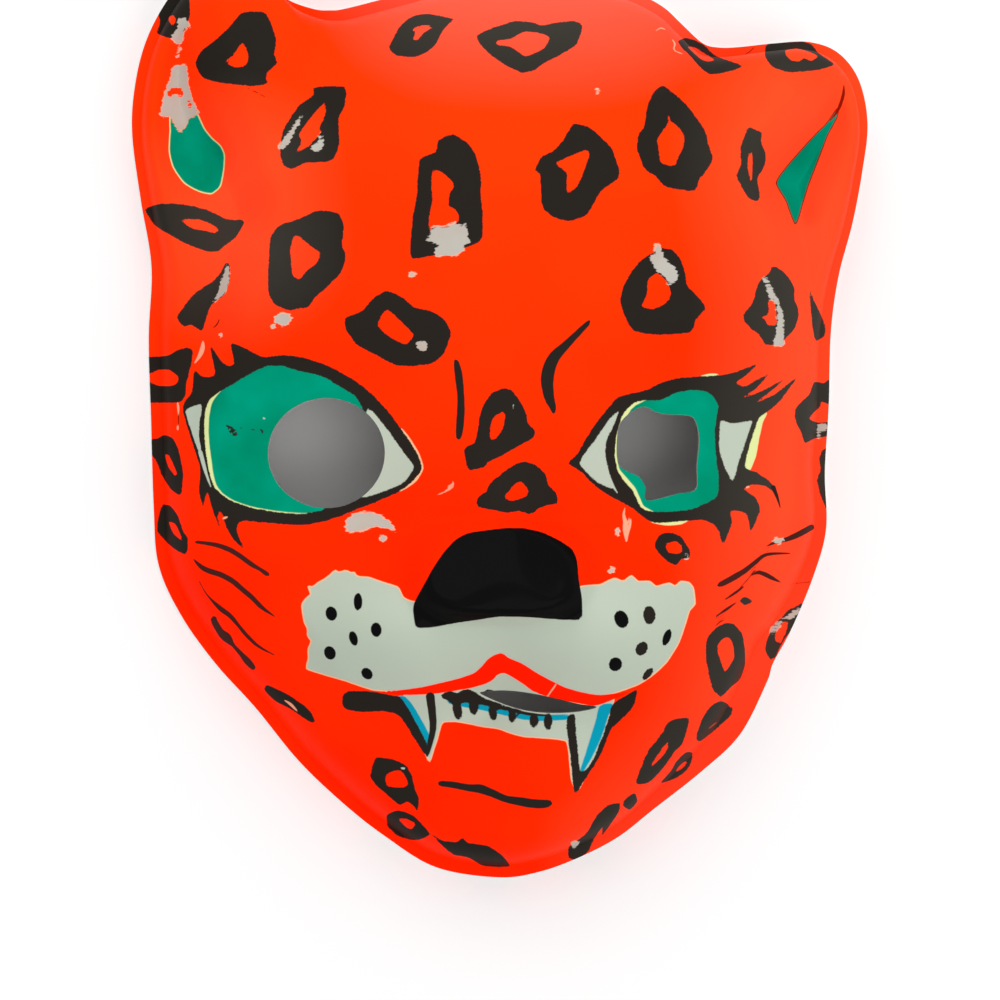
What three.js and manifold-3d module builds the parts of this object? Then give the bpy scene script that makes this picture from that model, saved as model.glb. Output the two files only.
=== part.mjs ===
// A child's leopard mask: one thin vacuum-formed plastic shell, lying face up on its rim.
// Units are millimetres. +X is the viewer's right, +Y the ears, +Z the way the face looks.
// The rim's underside is the plane z = 0, and the middle of the rim's outline is x = y = 0.

import * as THREE from 'three';
import { mergeVertices } from 'three/addons/utils/BufferGeometryUtils.js';
import Module from 'manifold-3d';

// Driving dimensions
const WIDTH = 167;
const HEIGHT = 208;
const WALL = 0.8;
const FLANGE = 2.6;
const JOWL_FLANGE = { extra: 4, degrees: -48, spread: 14 };
const FACE_X = -2.8;

// The walls that rise from the flange, by height, width of the slope and how round the top edge is
const FACE_WALL = { height: 19, width: 13, roundness: 2.3 };
const BAND_WALL = { height: 12.5, width: 7.5, roundness: 2.2 };

// The face's crown above its walls, and the width over which relief fades out towards the rim
const CROWN = { height: 12, halfWidth: 84, halfHeight: 104 };
const RELIEF_FADE = 26;

// The slope from the side bands up to the face: its reach either side of the crease, and how
// sharp it is at its foot and round at its top
const CREASE = { outside: 1, inside: 11, foot: 1.4, top: 2 };

// The ear hollows: their slopes either side of their outlines, their floor and how far they reach it
const EAR_SLOPE = { outside: 4, inside: 5 };
const EAR_FLOOR = 6.5;
const EAR_DEPTH_SHARE = 0.75;

// Grid lines from the middle to the rim
const RINGS = 23;

// How far in from the flange's inner edge the grid's outer rings lie, so that they follow the wall
const WALL_STEPS = [0, 1.6, 3.8, 7, 11];

// Shares of the way out between which the grid's round inner lines turn into the rim's own lines
const ROUND_UNTIL = 0.5;
const RIM_LINES_FROM = 0.86;

// The upright part of the steepest wall's normal, and how far the wall's inner foot is drawn in
const STEEPEST = 0.2;
const FOOT_MITRE = 0.45;

// The rim's outline, from the chin round by the right cheek, the right ear and the left ear
const OUTLINE = [
  [-1.5, -104], [7.9, -102.9], [17.3, -99.6], [26.1, -95.1], [34, -89], [45.1, -80.4], [54, -72],
  [60.1, -60.3], [61.7, -55.6], [65.8, -48.1], [70.9, -36], [73.9, -25], [73.6, -12], [74.5, 3], [75, 20],
  [76.8, 32.9], [80, 45], [82.3, 57], [83.5, 68], [81.5, 77.8], [76.7, 84], [70, 86.4], [62, 86],
  [53.4, 85], [48.8, 84.9], [45.3, 85.9], [40.3, 90.4], [37.1, 93.4], [33.5, 95.6], [28.8, 97.7],
  [21.9, 99.5], [12.8, 100.8], [3.7, 101.1], [-5.4, 100.3], [-14.5, 98.5], [-23.5, 95.9], [-35.5, 92.6],
  [-39.3, 92.1], [-43.1, 92.4], [-49.2, 94.7], [-55, 100.2], [-61.5, 104], [-69.5, 101.5], [-75.7, 93.8],
  [-80.3, 84.9], [-82.8, 75], [-83.5, 64], [-81.6, 49.1], [-79.2, 34], [-79.8, 18], [-79.3, 0],
  [-78.7, -20], [-77.6, -33], [-72.6, -44.3], [-65, -55.1], [-55.8, -65.4], [-46.4, -77.1], [-36.4, -86.8],
  [-26.9, -94.4], [-15.5, -101.5],
];

// The crease that parts the raised face from the ears and the low side bands. It runs off the
// rim at the forehead and below the cheeks, where the face reaches the rim.
const FACE_CREASE = [
  [-73, 125], [84, 125], [80, 88], [75.5, 76], [69, 63.5], [63, 56], [59.3, 51], [61.1, 46.4], [64.5, 39],
  [66.4, 30], [69.5, 17], [73, 4], [90, -25], [95, -130], [-95, -130], [-90, -48], [-79, -24],
  [-71.7, -3], [-69.7, 5], [-65.8, 18], [-63.3, 28], [-60, 35.5], [-57.5, 42], [-59, 47.5],
  [-61.3, 54.5], [-65, 63], [-68, 71], [-70, 80], [-72, 97],
];

// The hollows of the ears
const LEFT_EAR_CUP = [
  [-70.5, 82], [-73.8, 75], [-74.6, 66.5], [-73.8, 58], [-71, 51], [-66.5, 48], [-62.5, 50.5],
  [-61.7, 55.5], [-64.8, 62.5], [-68, 69], [-69.6, 75],
];
const RIGHT_EAR_CUP = [
  [77, 76], [72.2, 66.5], [66.3, 58.5], [61.6, 52.3], [63.6, 47.8], [65.9, 43.8], [67.9, 47.9],
  [70.2, 54.5], [73, 62], [76, 70],
];

// The cut-outs: the left eye is a round hole, the right eye and the mouth are hand-cut outlines
const LEFT_EYE = { x: -38.1, y: -8.7, halfWidth: 12.2, halfHeight: 11.4 };
const RIGHT_EYE = [
  [26.6, 0.7], [24.6, -0.5], [22.8, -2.5], [22.2, -5], [22.1, -8.9], [22.7, -11.3], [24.7, -12.6],
  [26.9, -13.6], [28.3, -15.8], [28.6, -18.5], [35.2, -17.1], [39.1, -16.1], [39.3, -11.3],
  [39.7, -5.6], [39, -2.1], [37.7, -0.8], [33.7, -0.6], [30.8, -0.2], [28.2, 1],
];
const MOUTH = [
  [-6.3, -58.2], [-4.8, -59.3], [-1.3, -60.9], [2.9, -62.1], [8.1, -62.6], [14.2, -62.3], [18, -61.3],
  [14.1, -60.5], [9.7, -59.3], [4.6, -58.3], [-0.6, -57.8], [-3.8, -57.9],
];
const CUT_CORNERS = 28;
const CUTTER = { from: -5, depth: 80 };

// Direction from the middle, in degrees, where the grid's lower right corner meets the rim
const LOWER_RIGHT = -50;

// Soft swells: height, middle, half-widths and tilt in degrees, with x from the face's centre line.
// Forehead, ears and the dips beside them, brows, eye sockets and eyeballs, cheeks, the bridge of
// the nose, the dip under the nose, lower lip and chin.
const SWELLS = [
  [6, 4, 50, 38, 27, 0],
  [3, -52, 80, 15, 15, 0],
  [3, 62, 67, 15, 14, 0],
  [-2.2, -35, 83, 5, 16, -12],
  [-2.2, 51, 75, 5, 14, 20],
  [1.6, -38, 18, 24, 9, 3],
  [1.6, 38, 18, 24, 9, -3],
  [-3, -36, -5, 22, 16, 0],
  [2.6, -36, -5, 14, 10, 0],
  [-3, 36, -5, 22, 16, 0],
  [2.6, 36, -5, 14, 10, 0],
  [1.5, -51, -30, 14, 14, 0],
  [1.5, 53, -30, 14, 14, 0],
  [7, 0, -8, 16, 27, 0],
  [7.5, 0, -26, 13, 14, 0],
  [-4, 0, -48, 9, 14, 0],
  [2.5, 0, -70, 18, 8, 0],
  [4, 2, -82, 22, 13, 0],
];

// The two rounded halves of the muzzle, each ending at an oval: the middle's distance from the
// centre line, its y, the oval's half-widths, the height and how round the top is
const MUZZLE = { x: 17.5, y: -44, halfWidth: 32, halfHeight: 24, height: 15, roundness: 2 };

// The nose pad: a rounded oblong that leans forward towards its lower edge, flat inside the share
// edgeFrom of its size and down to nothing at edgeTo
const NOSE_PAD = {
  y: -32.5,
  halfWidth: 18,
  halfHeight: 10,
  height: 5.5,
  squareness: 2.6,
  lean: 0.2,
  edgeFrom: 0.72,
  edgeTo: 1.15,
};

const clamp = THREE.MathUtils.clamp;
const smoothstep = THREE.MathUtils.smoothstep;

/** A closed spline through the points, sampled at even steps along its length. */
function roundedLoop(points, count) {
  const curve = new THREE.CatmullRomCurve3(
    points.map(([x, y]) => new THREE.Vector3(x, y, 0)),
    true,
    'catmullrom',
    0.5,
  );
  curve.arcLengthDivisions = count * 6;
  return curve.getSpacedPoints(count).slice(0, count);
}

/** The rim as points, fitted exactly into the width and the height. */
function rimLoop(count) {
  const points = roundedLoop(OUTLINE, count);
  const box = new THREE.Box3().setFromPoints(points);
  const middle = box.getCenter(new THREE.Vector3());
  const size = box.getSize(new THREE.Vector3());
  for (const point of points) {
    point.sub(middle);
    point.x *= WIDTH / size.x;
    point.y *= HEIGHT / size.y;
  }
  return points;
}

/** Distance from (x, y) to a closed loop: positive inside it, negative outside. */
function depthInside(x, y, loop) {
  let nearest = Infinity;
  let inside = false;
  loop.forEach((from, index) => {
    const to = loop[(index + 1) % loop.length];
    const runX = to.x - from.x;
    const runY = to.y - from.y;
    const along = clamp(((x - from.x) * runX + (y - from.y) * runY) / (runX * runX + runY * runY), 0, 1);
    nearest = Math.min(nearest, Math.hypot(x - from.x - along * runX, y - from.y - along * runY));
    if (from.y > y !== to.y > y && x < from.x + (runX * (y - from.y)) / runY) {
      inside = !inside;
    }
  });
  return inside ? nearest : -nearest;
}

/** Height of a wall that starts steep at its foot and turns flat at its top. */
function wallHeight(distance, wall) {
  return wall.height * (1 - (1 - clamp(distance / wall.width, 0, 1)) ** wall.roundness);
}

/** Share of the face's height at a distance inside the crease. */
function creaseShare(depth) {
  const way = clamp((depth + CREASE.outside) / (CREASE.outside + CREASE.inside), 0, 1);
  return 1 - (1 - way ** CREASE.foot) ** CREASE.top;
}

/** Squared distance from a feature's middle, in its own half-widths. */
function spread(x, y, centreX, centreY, halfX, halfY, tilt) {
  const angle = THREE.MathUtils.degToRad(tilt);
  const u = ((x - centreX) * Math.cos(angle) + (y - centreY) * Math.sin(angle)) / halfX;
  const v = ((y - centreY) * Math.cos(angle) - (x - centreX) * Math.sin(angle)) / halfY;
  return u * u + v * v;
}

/** The features that stand on the face's dome. */
function features(x, y) {
  let height = 0;
  for (const [rises, ...place] of SWELLS) {
    height += rises * Math.exp(-spread(x, y, ...place));
  }
  for (const side of [-MUZZLE.x, MUZZLE.x]) {
    const fromMiddle = spread(x, y, side, MUZZLE.y, MUZZLE.halfWidth, MUZZLE.halfHeight, 0);
    height += MUZZLE.height * Math.max(1 - fromMiddle, 0) ** MUZZLE.roundness;
  }
  const acrossPad = Math.abs(x) / NOSE_PAD.halfWidth;
  const downPad = (NOSE_PAD.y - y) / NOSE_PAD.halfHeight;
  const power = NOSE_PAD.squareness;
  const fromPad = (acrossPad ** power + Math.abs(downPad) ** power) ** (1 / power);
  const onPad = 1 - smoothstep(fromPad, NOSE_PAD.edgeFrom, NOSE_PAD.edgeTo);
  return height + NOSE_PAD.height * onPad * (1 + NOSE_PAD.lean * downPad);
}

const faceLoop = roundedLoop(FACE_CREASE, 120);
const earLoops = [LEFT_EAR_CUP, RIGHT_EAR_CUP].map((cup) => roundedLoop(cup, 44));

/** Height of the outer surface at (x, y), where the rim and the wall's foot are so far away. */
function outerHeight(x, y, edge, fromFoot) {
  if (fromFoot <= 0) {
    return WALL;
  }
  const oval = clamp(1 - (x / CROWN.halfWidth) ** 2 - (y / CROWN.halfHeight) ** 2, 0, 1);
  const relief = CROWN.height * oval + features(x - FACE_X, y);
  const dome = wallHeight(fromFoot, FACE_WALL) + relief * smoothstep(edge, 0, RELIEF_FADE);
  const band = wallHeight(fromFoot, BAND_WALL);
  let height = THREE.MathUtils.lerp(band, dome, creaseShare(depthInside(x, y, faceLoop)));
  for (const cup of earLoops) {
    const sunk = smoothstep(depthInside(x, y, cup), -EAR_SLOPE.outside, EAR_SLOPE.inside);
    height -= EAR_DEPTH_SHARE * sunk * Math.max(height - EAR_FLOOR, 0);
  }
  return WALL + Math.max(height, 0);
}

/** The flange's width in the direction of a rim point: wider below the right cheek. */
function flangeWidth(onRim) {
  const angle = THREE.MathUtils.radToDeg(Math.atan2(onRim.y, onRim.x));
  const away = (angle - JOWL_FLANGE.degrees) / JOWL_FLANGE.spread;
  return FLANGE + JOWL_FLANGE.extra * Math.exp(-(away ** 2));
}

/** Distance in from the rim at a share of the way out: fixed steps up the wall, even ones inside. */
function distanceIn(share, onRim) {
  const flange = flangeWidth(onRim);
  const steps = [0, ...WALL_STEPS.map((step) => flange + step)];
  const fromRim = (1 - share) * RINGS;
  const index = Math.floor(fromRim);
  if (index < steps.length - 1) {
    return THREE.MathUtils.lerp(steps[index], steps[index + 1], fromRim - index);
  }
  const last = steps.length - 1;
  return THREE.MathUtils.lerp(steps[last], onRim.length(), (fromRim - last) / (RINGS - last));
}

/** How far round a square ring a grid point lies, from 0 to 1, from the lower right corner. */
function squareTurn(column, row, ring) {
  if (column === ring && row < ring) {
    return (row + ring) / (8 * ring);
  }
  if (row === ring && column > -ring) {
    return (3 * ring - column) / (8 * ring);
  }
  if (column === -ring && row > -ring) {
    return (5 * ring - row) / (8 * ring);
  }
  return (7 * ring + column) / (8 * ring);
}

/** Turn and share of the way out for a grid point: round lines inside, the rim's own lines outside. */
function placeOnMask(column, row) {
  const ring = Math.max(Math.abs(row), Math.abs(column));
  if (ring === 0) {
    return { turn: 0, share: 0 };
  }
  const a = column / RINGS;
  const b = row / RINGS;
  const across = a * Math.sqrt(1 - (b * b) / 2);
  const up = b * Math.sqrt(1 - (a * a) / 2);
  const roundTurn = (Math.atan2(up, across) / (2 * Math.PI) + 1 / 8 + 1) % 1;
  const squareShare = ring / RINGS;
  const outward = smoothstep(squareShare, ROUND_UNTIL, RIM_LINES_FROM);
  return {
    turn: THREE.MathUtils.lerp(roundTurn, squareTurn(column, row, ring), outward),
    share: THREE.MathUtils.lerp(Math.hypot(across, up), squareShare, outward),
  };
}

/** The rim's point that is the given part of the way round, from the lower right. */
function rimPoint(rim, start, turn) {
  const place = turn * rim.length;
  const first = rim[(Math.floor(place) + start) % rim.length];
  const second = rim[(Math.floor(place) + 1 + start) % rim.length];
  return first.clone().lerp(second, place % 1);
}

/** The number of the rim point nearest to the given direction. */
function rimStart(rim, degrees) {
  const direction = THREE.MathUtils.degToRad(degrees);
  const misses = rim.map((point) => Math.abs(Math.atan2(point.y, point.x) - direction));
  return misses.indexOf(Math.min(...misses));
}

/** The outer surface as a square grid of points whose outer rings follow the rim. */
function outerGrid() {
  const rim = rimLoop(8 * RINGS);
  const start = rimStart(rim, LOWER_RIGHT);
  const grid = [];
  for (let row = -RINGS; row <= RINGS; row += 1) {
    const line = [];
    for (let column = -RINGS; column <= RINGS; column += 1) {
      const { turn, share } = placeOnMask(column, row);
      const onRim = rimPoint(rim, start, turn);
      const edge = distanceIn(share, onRim);
      const point = onRim.clone().multiplyScalar(1 - edge / onRim.length());
      point.z = outerHeight(point.x, point.y, edge, edge - flangeWidth(onRim));
      line.push(point);
    }
    grid.push(line);
  }
  return grid;
}

/** The inner surface: the outer one lowered, by more where it is steep, to keep the wall's thickness. */
function innerGrid(outer) {
  const last = outer.length - 1;
  return outer.map((line, row) => line.map((point, column) => {
    const ring = Math.max(Math.abs(row - RINGS), Math.abs(column - RINGS));
    const inner = point.clone();
    if (ring >= RINGS - 1) {
      const mitre = ring === RINGS ? 0 : FOOT_MITRE;
      inner.setLength(point.length() - mitre);
      return inner.setZ(0);
    }
    const across = line[Math.min(column + 1, last)].clone().sub(line[Math.max(column - 1, 0)]);
    const along = outer[Math.min(row + 1, last)][column].clone().sub(outer[Math.max(row - 1, 0)][column]);
    const normal = across.cross(along).normalize();
    return inner.setZ(Math.max(point.z - WALL / Math.max(normal.z, STEEPEST), 0));
  }));
}

/** A closed shell between the two grids, joined round the rim. */
function shellGeometry() {
  const outer = outerGrid();
  const inner = innerGrid(outer);
  const size = outer.length;
  const outerPoints = outer.flat();
  const positions = [...outerPoints, ...inner.flat()].flatMap((point) => [point.x, point.y, point.z]);
  const indices = [];
  const quad = (a, b, c, d) => indices.push(a, b, c, a, c, d);
  const underneath = size * size;
  for (let row = 0; row < size - 1; row += 1) {
    for (let column = 0; column < size - 1; column += 1) {
      const a = row * size + column;
      const b = a + 1;
      const c = b + size;
      const d = a + size;
      const shorter = outerPoints[b].distanceTo(outerPoints[d]) < outerPoints[a].distanceTo(outerPoints[c]);
      if (shorter) {
        quad(b, c, d, a);
        quad(underneath + b, underneath + a, underneath + d, underneath + c);
      } else {
        quad(a, b, c, d);
        quad(underneath + a, underneath + d, underneath + c, underneath + b);
      }
    }
  }
  const last = size - 1;
  for (let step = 0; step < last; step += 1) {
    const edges = [
      [step, step + 1],
      [last + step * size, last + (step + 1) * size],
      [last * size + last - step, last * size + last - step - 1],
      [(last - step) * size, (last - step - 1) * size],
    ];
    for (const [from, to] of edges) {
      quad(from, underneath + from, underneath + to, to);
    }
  }
  const geometry = new THREE.BufferGeometry();
  geometry.setAttribute('position', new THREE.Float32BufferAttribute(positions, 3));
  geometry.setIndex(indices);
  return geometry;
}

/** A straight-sided cutter of an outline, right through the face. */
function cutterGeometry(loop) {
  const shape = new THREE.Shape(loop.map((point) => new THREE.Vector2(point.x, point.y)));
  const geometry = new THREE.ExtrudeGeometry(shape, { depth: CUTTER.depth, bevelEnabled: false });
  geometry.translate(0, 0, CUTTER.from);
  return geometry;
}

/** The outline of the round left eye. */
function leftEyeLoop() {
  const points = [];
  for (let step = 0; step < CUT_CORNERS; step += 1) {
    const angle = (2 * Math.PI * step) / CUT_CORNERS;
    points.push(new THREE.Vector3(
      LEFT_EYE.x + LEFT_EYE.halfWidth * Math.cos(angle),
      LEFT_EYE.y + LEFT_EYE.halfHeight * Math.sin(angle),
      0,
    ));
  }
  return points;
}

const wasm = await Module();
wasm.setup();

/** A closed three.js geometry as a solid. */
function toSolid(geometry) {
  geometry.deleteAttribute('normal');
  geometry.deleteAttribute('uv');
  const merged = mergeVertices(geometry, 1e-4);
  return new wasm.Manifold(new wasm.Mesh({
    numProp: 3,
    vertProperties: new Float32Array(merged.attributes.position.array),
    triVerts: new Uint32Array(merged.index.array),
  }));
}

/** A solid as a three.js geometry. */
function toGeometry(solid) {
  const mesh = solid.getMesh();
  const geometry = new THREE.BufferGeometry();
  geometry.setAttribute('position', new THREE.BufferAttribute(new Float32Array(mesh.vertProperties), 3));
  geometry.setIndex(new THREE.BufferAttribute(new Uint32Array(mesh.triVerts), 1));
  geometry.computeVertexNormals();
  return geometry;
}

/** The mask: the shell with both eyes and the mouth cut out. */
function buildMask() {
  const cuts = [
    leftEyeLoop(),
    roundedLoop(RIGHT_EYE, CUT_CORNERS),
    roundedLoop(MOUTH, CUT_CORNERS),
  ];
  let solid = toSolid(shellGeometry());
  for (const cut of cuts) {
    solid = solid.subtract(toSolid(cutterGeometry(cut)));
  }
  const plastic = new THREE.MeshStandardMaterial({ color: 0xf93a12, roughness: 0.28, metalness: 0 });
  const mask = new THREE.Mesh(toGeometry(solid), plastic);
  mask.name = 'mask_shell';
  return mask;
}

const leopardMask = new THREE.Group();
leopardMask.add(buildMask());

export default leopardMask;
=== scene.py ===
"""A child's leopard mask as it looks: a thin formed plastic shell, painted, lying face up.

The mask's form is worked out in millimetres and brought to metres when its mesh is made. The
paint is placed in the coordinates of a 1000 by 1000 picture, seen from the scene's own camera.
"""

import logging
import math
from dataclasses import dataclass, field
from enum import Enum
from typing import Any

import bpy
import numpy as np
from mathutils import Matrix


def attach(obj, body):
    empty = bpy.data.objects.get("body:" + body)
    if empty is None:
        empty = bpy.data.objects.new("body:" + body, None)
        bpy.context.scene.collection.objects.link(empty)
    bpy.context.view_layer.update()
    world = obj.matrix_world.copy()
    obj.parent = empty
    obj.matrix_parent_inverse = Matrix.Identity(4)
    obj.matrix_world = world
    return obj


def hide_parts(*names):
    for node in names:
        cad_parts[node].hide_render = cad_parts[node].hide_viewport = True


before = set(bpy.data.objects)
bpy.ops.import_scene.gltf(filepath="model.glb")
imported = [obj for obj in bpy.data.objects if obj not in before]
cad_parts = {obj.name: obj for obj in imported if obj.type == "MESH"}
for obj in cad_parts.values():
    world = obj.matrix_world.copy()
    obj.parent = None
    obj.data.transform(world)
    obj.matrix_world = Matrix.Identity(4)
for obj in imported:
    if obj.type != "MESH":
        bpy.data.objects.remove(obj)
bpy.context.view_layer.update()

LOG = logging.getLogger("leopard_mask")
MM = 0.001
NO_LENGTH = 1e-12
ON_LINE = 1e-9
Point = tuple[float, float]
Point3 = tuple[float, float, float]
Colour = tuple[float, float, float, float]
Outline = tuple[Point, ...]


def ease(value: np.ndarray, low: float, high: float) -> np.ndarray:
    """Smooth step from 0 at low to 1 at high.

    Args:
        value: The numbers to step.
        low: Where the step starts.
        high: Where the step ends.

    Returns:
        Numbers from 0 to 1.
    """
    share = np.clip((value - low) / (high - low), 0, 1)
    return share * share * (3 - 2 * share)


def spline(points: np.ndarray, steps: int, closed: bool, roundness: float = 0.5) -> np.ndarray:
    """Smooth curve through points, which may have any number of columns.

    Args:
        points: The points to run through, one a row.
        steps: Samples from one point to the next.
        closed: Whether the curve runs back to its start.
        roundness: 0.5 for round bends, less for tighter ones.

    Returns:
        The samples, one a row, without a repeat of the first on a closed curve.
    """
    knots = np.asarray(points, float)
    if closed:
        before, after, second = (np.roll(knots, shift, axis=0) for shift in (1, -1, -2))
        start = knots
    else:
        start, after = knots[:-1], knots[1:]
        before = np.vstack([knots[:1], knots[:-2]])
        second = np.vstack([knots[2:], knots[-1:]])
    leaving, arriving = roundness * (after - before), roundness * (second - start)
    samples = []
    for step in range(steps):
        t = step / steps
        samples.append(
            (2 * t**3 - 3 * t**2 + 1) * start
            + (t**3 - 2 * t**2 + t) * leaving
            + (3 * t**2 - 2 * t**3) * after
            + (t**3 - t**2) * arriving
        )
    curve = np.stack(samples, axis=1).reshape(-1, knots.shape[1])
    return curve if closed else np.vstack([curve, knots[-1:]])


def even_loop(curve: np.ndarray, count: int) -> np.ndarray:
    """A closed curve sampled again at even steps along its length.

    Args:
        curve: The closed curve's points.
        count: How many points to return.

    Returns:
        The evenly spaced points.
    """
    ring = np.vstack([curve, curve[:1]])
    run = np.concatenate([[0], np.cumsum(np.linalg.norm(np.diff(ring, axis=0), axis=1))])
    at = np.linspace(0, run[-1], count, endpoint=False)
    return np.stack([np.interp(at, run, ring[:, axis]) for axis in (0, 1)], axis=1)


def segment_gaps(places: np.ndarray, start: np.ndarray, end: np.ndarray) -> tuple[np.ndarray, np.ndarray]:
    """Distance of places to one straight segment.

    Args:
        places: Points, one a row.
        start: The segment's first end.
        end: The segment's second end.

    Returns:
        The distances, and how far along the segment each nearest point lies, from 0 to 1.
    """
    run = end - start
    away = places - start
    along = np.clip(away @ run / max(float(run @ run), NO_LENGTH), 0, 1)
    return np.hypot(away[:, 0] - along * run[0], away[:, 1] - along * run[1]), along


def loop_distance(places: np.ndarray, loop: np.ndarray) -> np.ndarray:
    """Signed distance of places to a closed loop, negative inside it.

    Args:
        places: Points, one a row.
        loop: The loop's corners, one a row.

    Returns:
        The signed distances.
    """
    nearest = np.full(len(places), np.inf)
    inside = np.zeros(len(places), bool)
    for start, end in zip(loop, np.roll(loop, -1, axis=0)):
        nearest = np.minimum(nearest, segment_gaps(places, start, end)[0])
        if start[1] != end[1]:
            crosses = (start[1] > places[:, 1]) != (end[1] > places[:, 1])
            share = (places[:, 1] - start[1]) / (end[1] - start[1])
            inside ^= crosses & (places[:, 0] < start[0] + share * (end[0] - start[0]))
    return np.where(inside, -nearest, nearest)


@dataclass(frozen=True)
class PictureView:
    """The camera over the mask, which also says where a point of the mask lies in the picture."""

    target: Point3 = (-0.8, -18.4, 0.0)
    distance: float = 340.0
    yaw: float = 2.5
    focal_pixels: float = 1496.0
    picture_pixels: float = 1000.0
    sensor: float = 36.0
    nearest: float = 0.01

    def project(self, points: np.ndarray) -> np.ndarray:
        """Picture coordinates of points.

        Args:
            points: Points in millimetres, one a row.

        Returns:
            Pixel coordinates, to the right and down from the picture's upper left corner.
        """
        turn = math.radians(self.yaw)
        right = np.array([math.cos(turn), 0, math.sin(turn)])
        back = np.array([-math.sin(turn), 0, math.cos(turn)])
        away = points - np.array(self.target)
        depth = self.distance - away @ back
        half = self.picture_pixels / 2
        across = half + self.focal_pixels * (away @ right) / depth
        down = half - self.focal_pixels * away[:, 1] / depth
        return np.stack([across, down], axis=1)

    def add_camera(self) -> None:
        """Adds the camera and makes it the scene's own."""
        turn = math.radians(self.yaw)
        x, y, z = self.target
        place = (x - self.distance * math.sin(turn), y, z + self.distance * math.cos(turn))
        data = bpy.data.cameras.new("picture_camera")
        data.sensor_width = self.sensor
        data.lens = self.focal_pixels * self.sensor / self.picture_pixels
        data.clip_start = self.nearest
        camera = bpy.data.objects.new("picture_camera", data)
        camera.location = [value * MM for value in place]
        camera.rotation_euler = (0, -turn, 0)
        bpy.context.scene.collection.objects.link(camera)
        bpy.context.scene.camera = camera


@dataclass(frozen=True)
class Swell:
    """A soft rise without an edge, with its middle across from the face's centre line."""

    height: float
    x: float
    y: float
    half_width: float
    half_height: float
    tilt: float = 0.0

    def spread(self, x: np.ndarray, y: np.ndarray) -> np.ndarray:
        """Squared distance from the middle, in half-widths.

        Args:
            x: Places across the face.
            y: Places up the face.

        Returns:
            The squared distances.
        """
        angle = math.radians(self.tilt)
        cos, sin = math.cos(angle), math.sin(angle)
        across = ((x - self.x) * cos + (y - self.y) * sin) / self.half_width
        along = ((y - self.y) * cos - (x - self.x) * sin) / self.half_height
        return across**2 + along**2

    def rise(self, x: np.ndarray, y: np.ndarray) -> np.ndarray:
        """Height that the swell adds at the given places."""
        return self.height * np.exp(-self.spread(x, y))


@dataclass(frozen=True)
class Lobe(Swell):
    """A rounded lobe that ends at an outline."""

    roundness: float = 2.0

    def rise(self, x: np.ndarray, y: np.ndarray) -> np.ndarray:
        """Height that the lobe adds at the given places."""
        return self.height * np.clip(1 - self.spread(x, y), 0, 1) ** self.roundness


@dataclass(frozen=True)
class Wall:
    """A wall that starts steep at its foot and turns flat at its top."""

    height: float
    width: float
    roundness: float

    def rise(self, distance: np.ndarray) -> np.ndarray:
        """Height of the wall at the given distances in from its foot."""
        return self.height * (1 - (1 - np.clip(distance / self.width, 0, 1)) ** self.roundness)


@dataclass(frozen=True)
class Crease:
    """The slope between the low side bands and the raised face: short at its foot, long at its top."""

    outside: float = 1.0
    inside: float = 11.0
    foot: float = 1.4
    top: float = 2.0

    def share(self, depth: np.ndarray) -> np.ndarray:
        """Share of the face's height at the given distances inside the crease."""
        way = np.clip((depth + self.outside) / (self.outside + self.inside), 0, 1)
        return 1 - (1 - way**self.foot) ** self.top


@dataclass(frozen=True)
class NosePad:
    """The rounded oblong of the nose, leaning forward towards its lower edge."""

    y: float = -32.5
    half_width: float = 18.0
    half_height: float = 10.0
    height: float = 5.5
    squareness: float = 2.6
    lean: float = 0.2
    edge_from: float = 0.72
    edge_to: float = 1.15

    def rise(self, x: np.ndarray, y: np.ndarray) -> np.ndarray:
        """Height that the pad adds at the given places."""
        across = np.abs(x) / self.half_width
        down = (self.y - y) / self.half_height
        away = (across**self.squareness + np.abs(down) ** self.squareness) ** (1 / self.squareness)
        return self.height * (1 - ease(away, self.edge_from, self.edge_to)) * (1 + self.lean * down)


RIM_OUTLINE: Outline = (
    (-1.5, -104), (7.9, -102.9), (17.3, -99.6), (26.1, -95.1), (34, -89), (45.1, -80.4), (54, -72),
    (60.1, -60.3), (61.7, -55.6), (65.8, -48.1), (70.9, -36), (73.9, -25), (73.6, -12), (74.5, 3),
    (75, 20), (76.8, 32.9), (80, 45), (82.3, 57), (83.5, 68), (81.5, 77.8), (76.7, 84), (70, 86.4),
    (62, 86), (53.4, 85), (48.8, 84.9), (45.3, 85.9), (40.3, 90.4), (37.1, 93.4), (33.5, 95.6),
    (28.8, 97.7), (21.9, 99.5), (12.8, 100.8), (3.7, 101.1), (-5.4, 100.3), (-14.5, 98.5),
    (-23.5, 95.9), (-35.5, 92.6), (-39.3, 92.1), (-43.1, 92.4), (-49.2, 94.7), (-55, 100.2),
    (-61.5, 104), (-69.5, 101.5), (-75.7, 93.8), (-80.3, 84.9), (-82.8, 75), (-83.5, 64),
    (-81.6, 49.1), (-79.2, 34), (-79.8, 18), (-79.3, 0), (-78.7, -20), (-77.6, -33),
    (-72.6, -44.3), (-65, -55.1), (-55.8, -65.4), (-46.4, -77.1), (-36.4, -86.8), (-26.9, -94.4),
    (-15.5, -101.5),
)
FACE_CREASE: Outline = (
    (-73, 125), (84, 125), (80, 88), (75.5, 76), (69, 63.5), (63, 56), (59.3, 51), (61.1, 46.4),
    (64.5, 39), (66.4, 30), (69.5, 17), (73, 4), (90, -25), (95, -130), (-95, -130), (-90, -48),
    (-79, -24), (-71.7, -3), (-69.7, 5), (-65.8, 18), (-63.3, 28), (-60, 35.5), (-57.5, 42),
    (-59, 47.5), (-61.3, 54.5), (-65, 63), (-68, 71), (-70, 80), (-72, 97),
)
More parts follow.
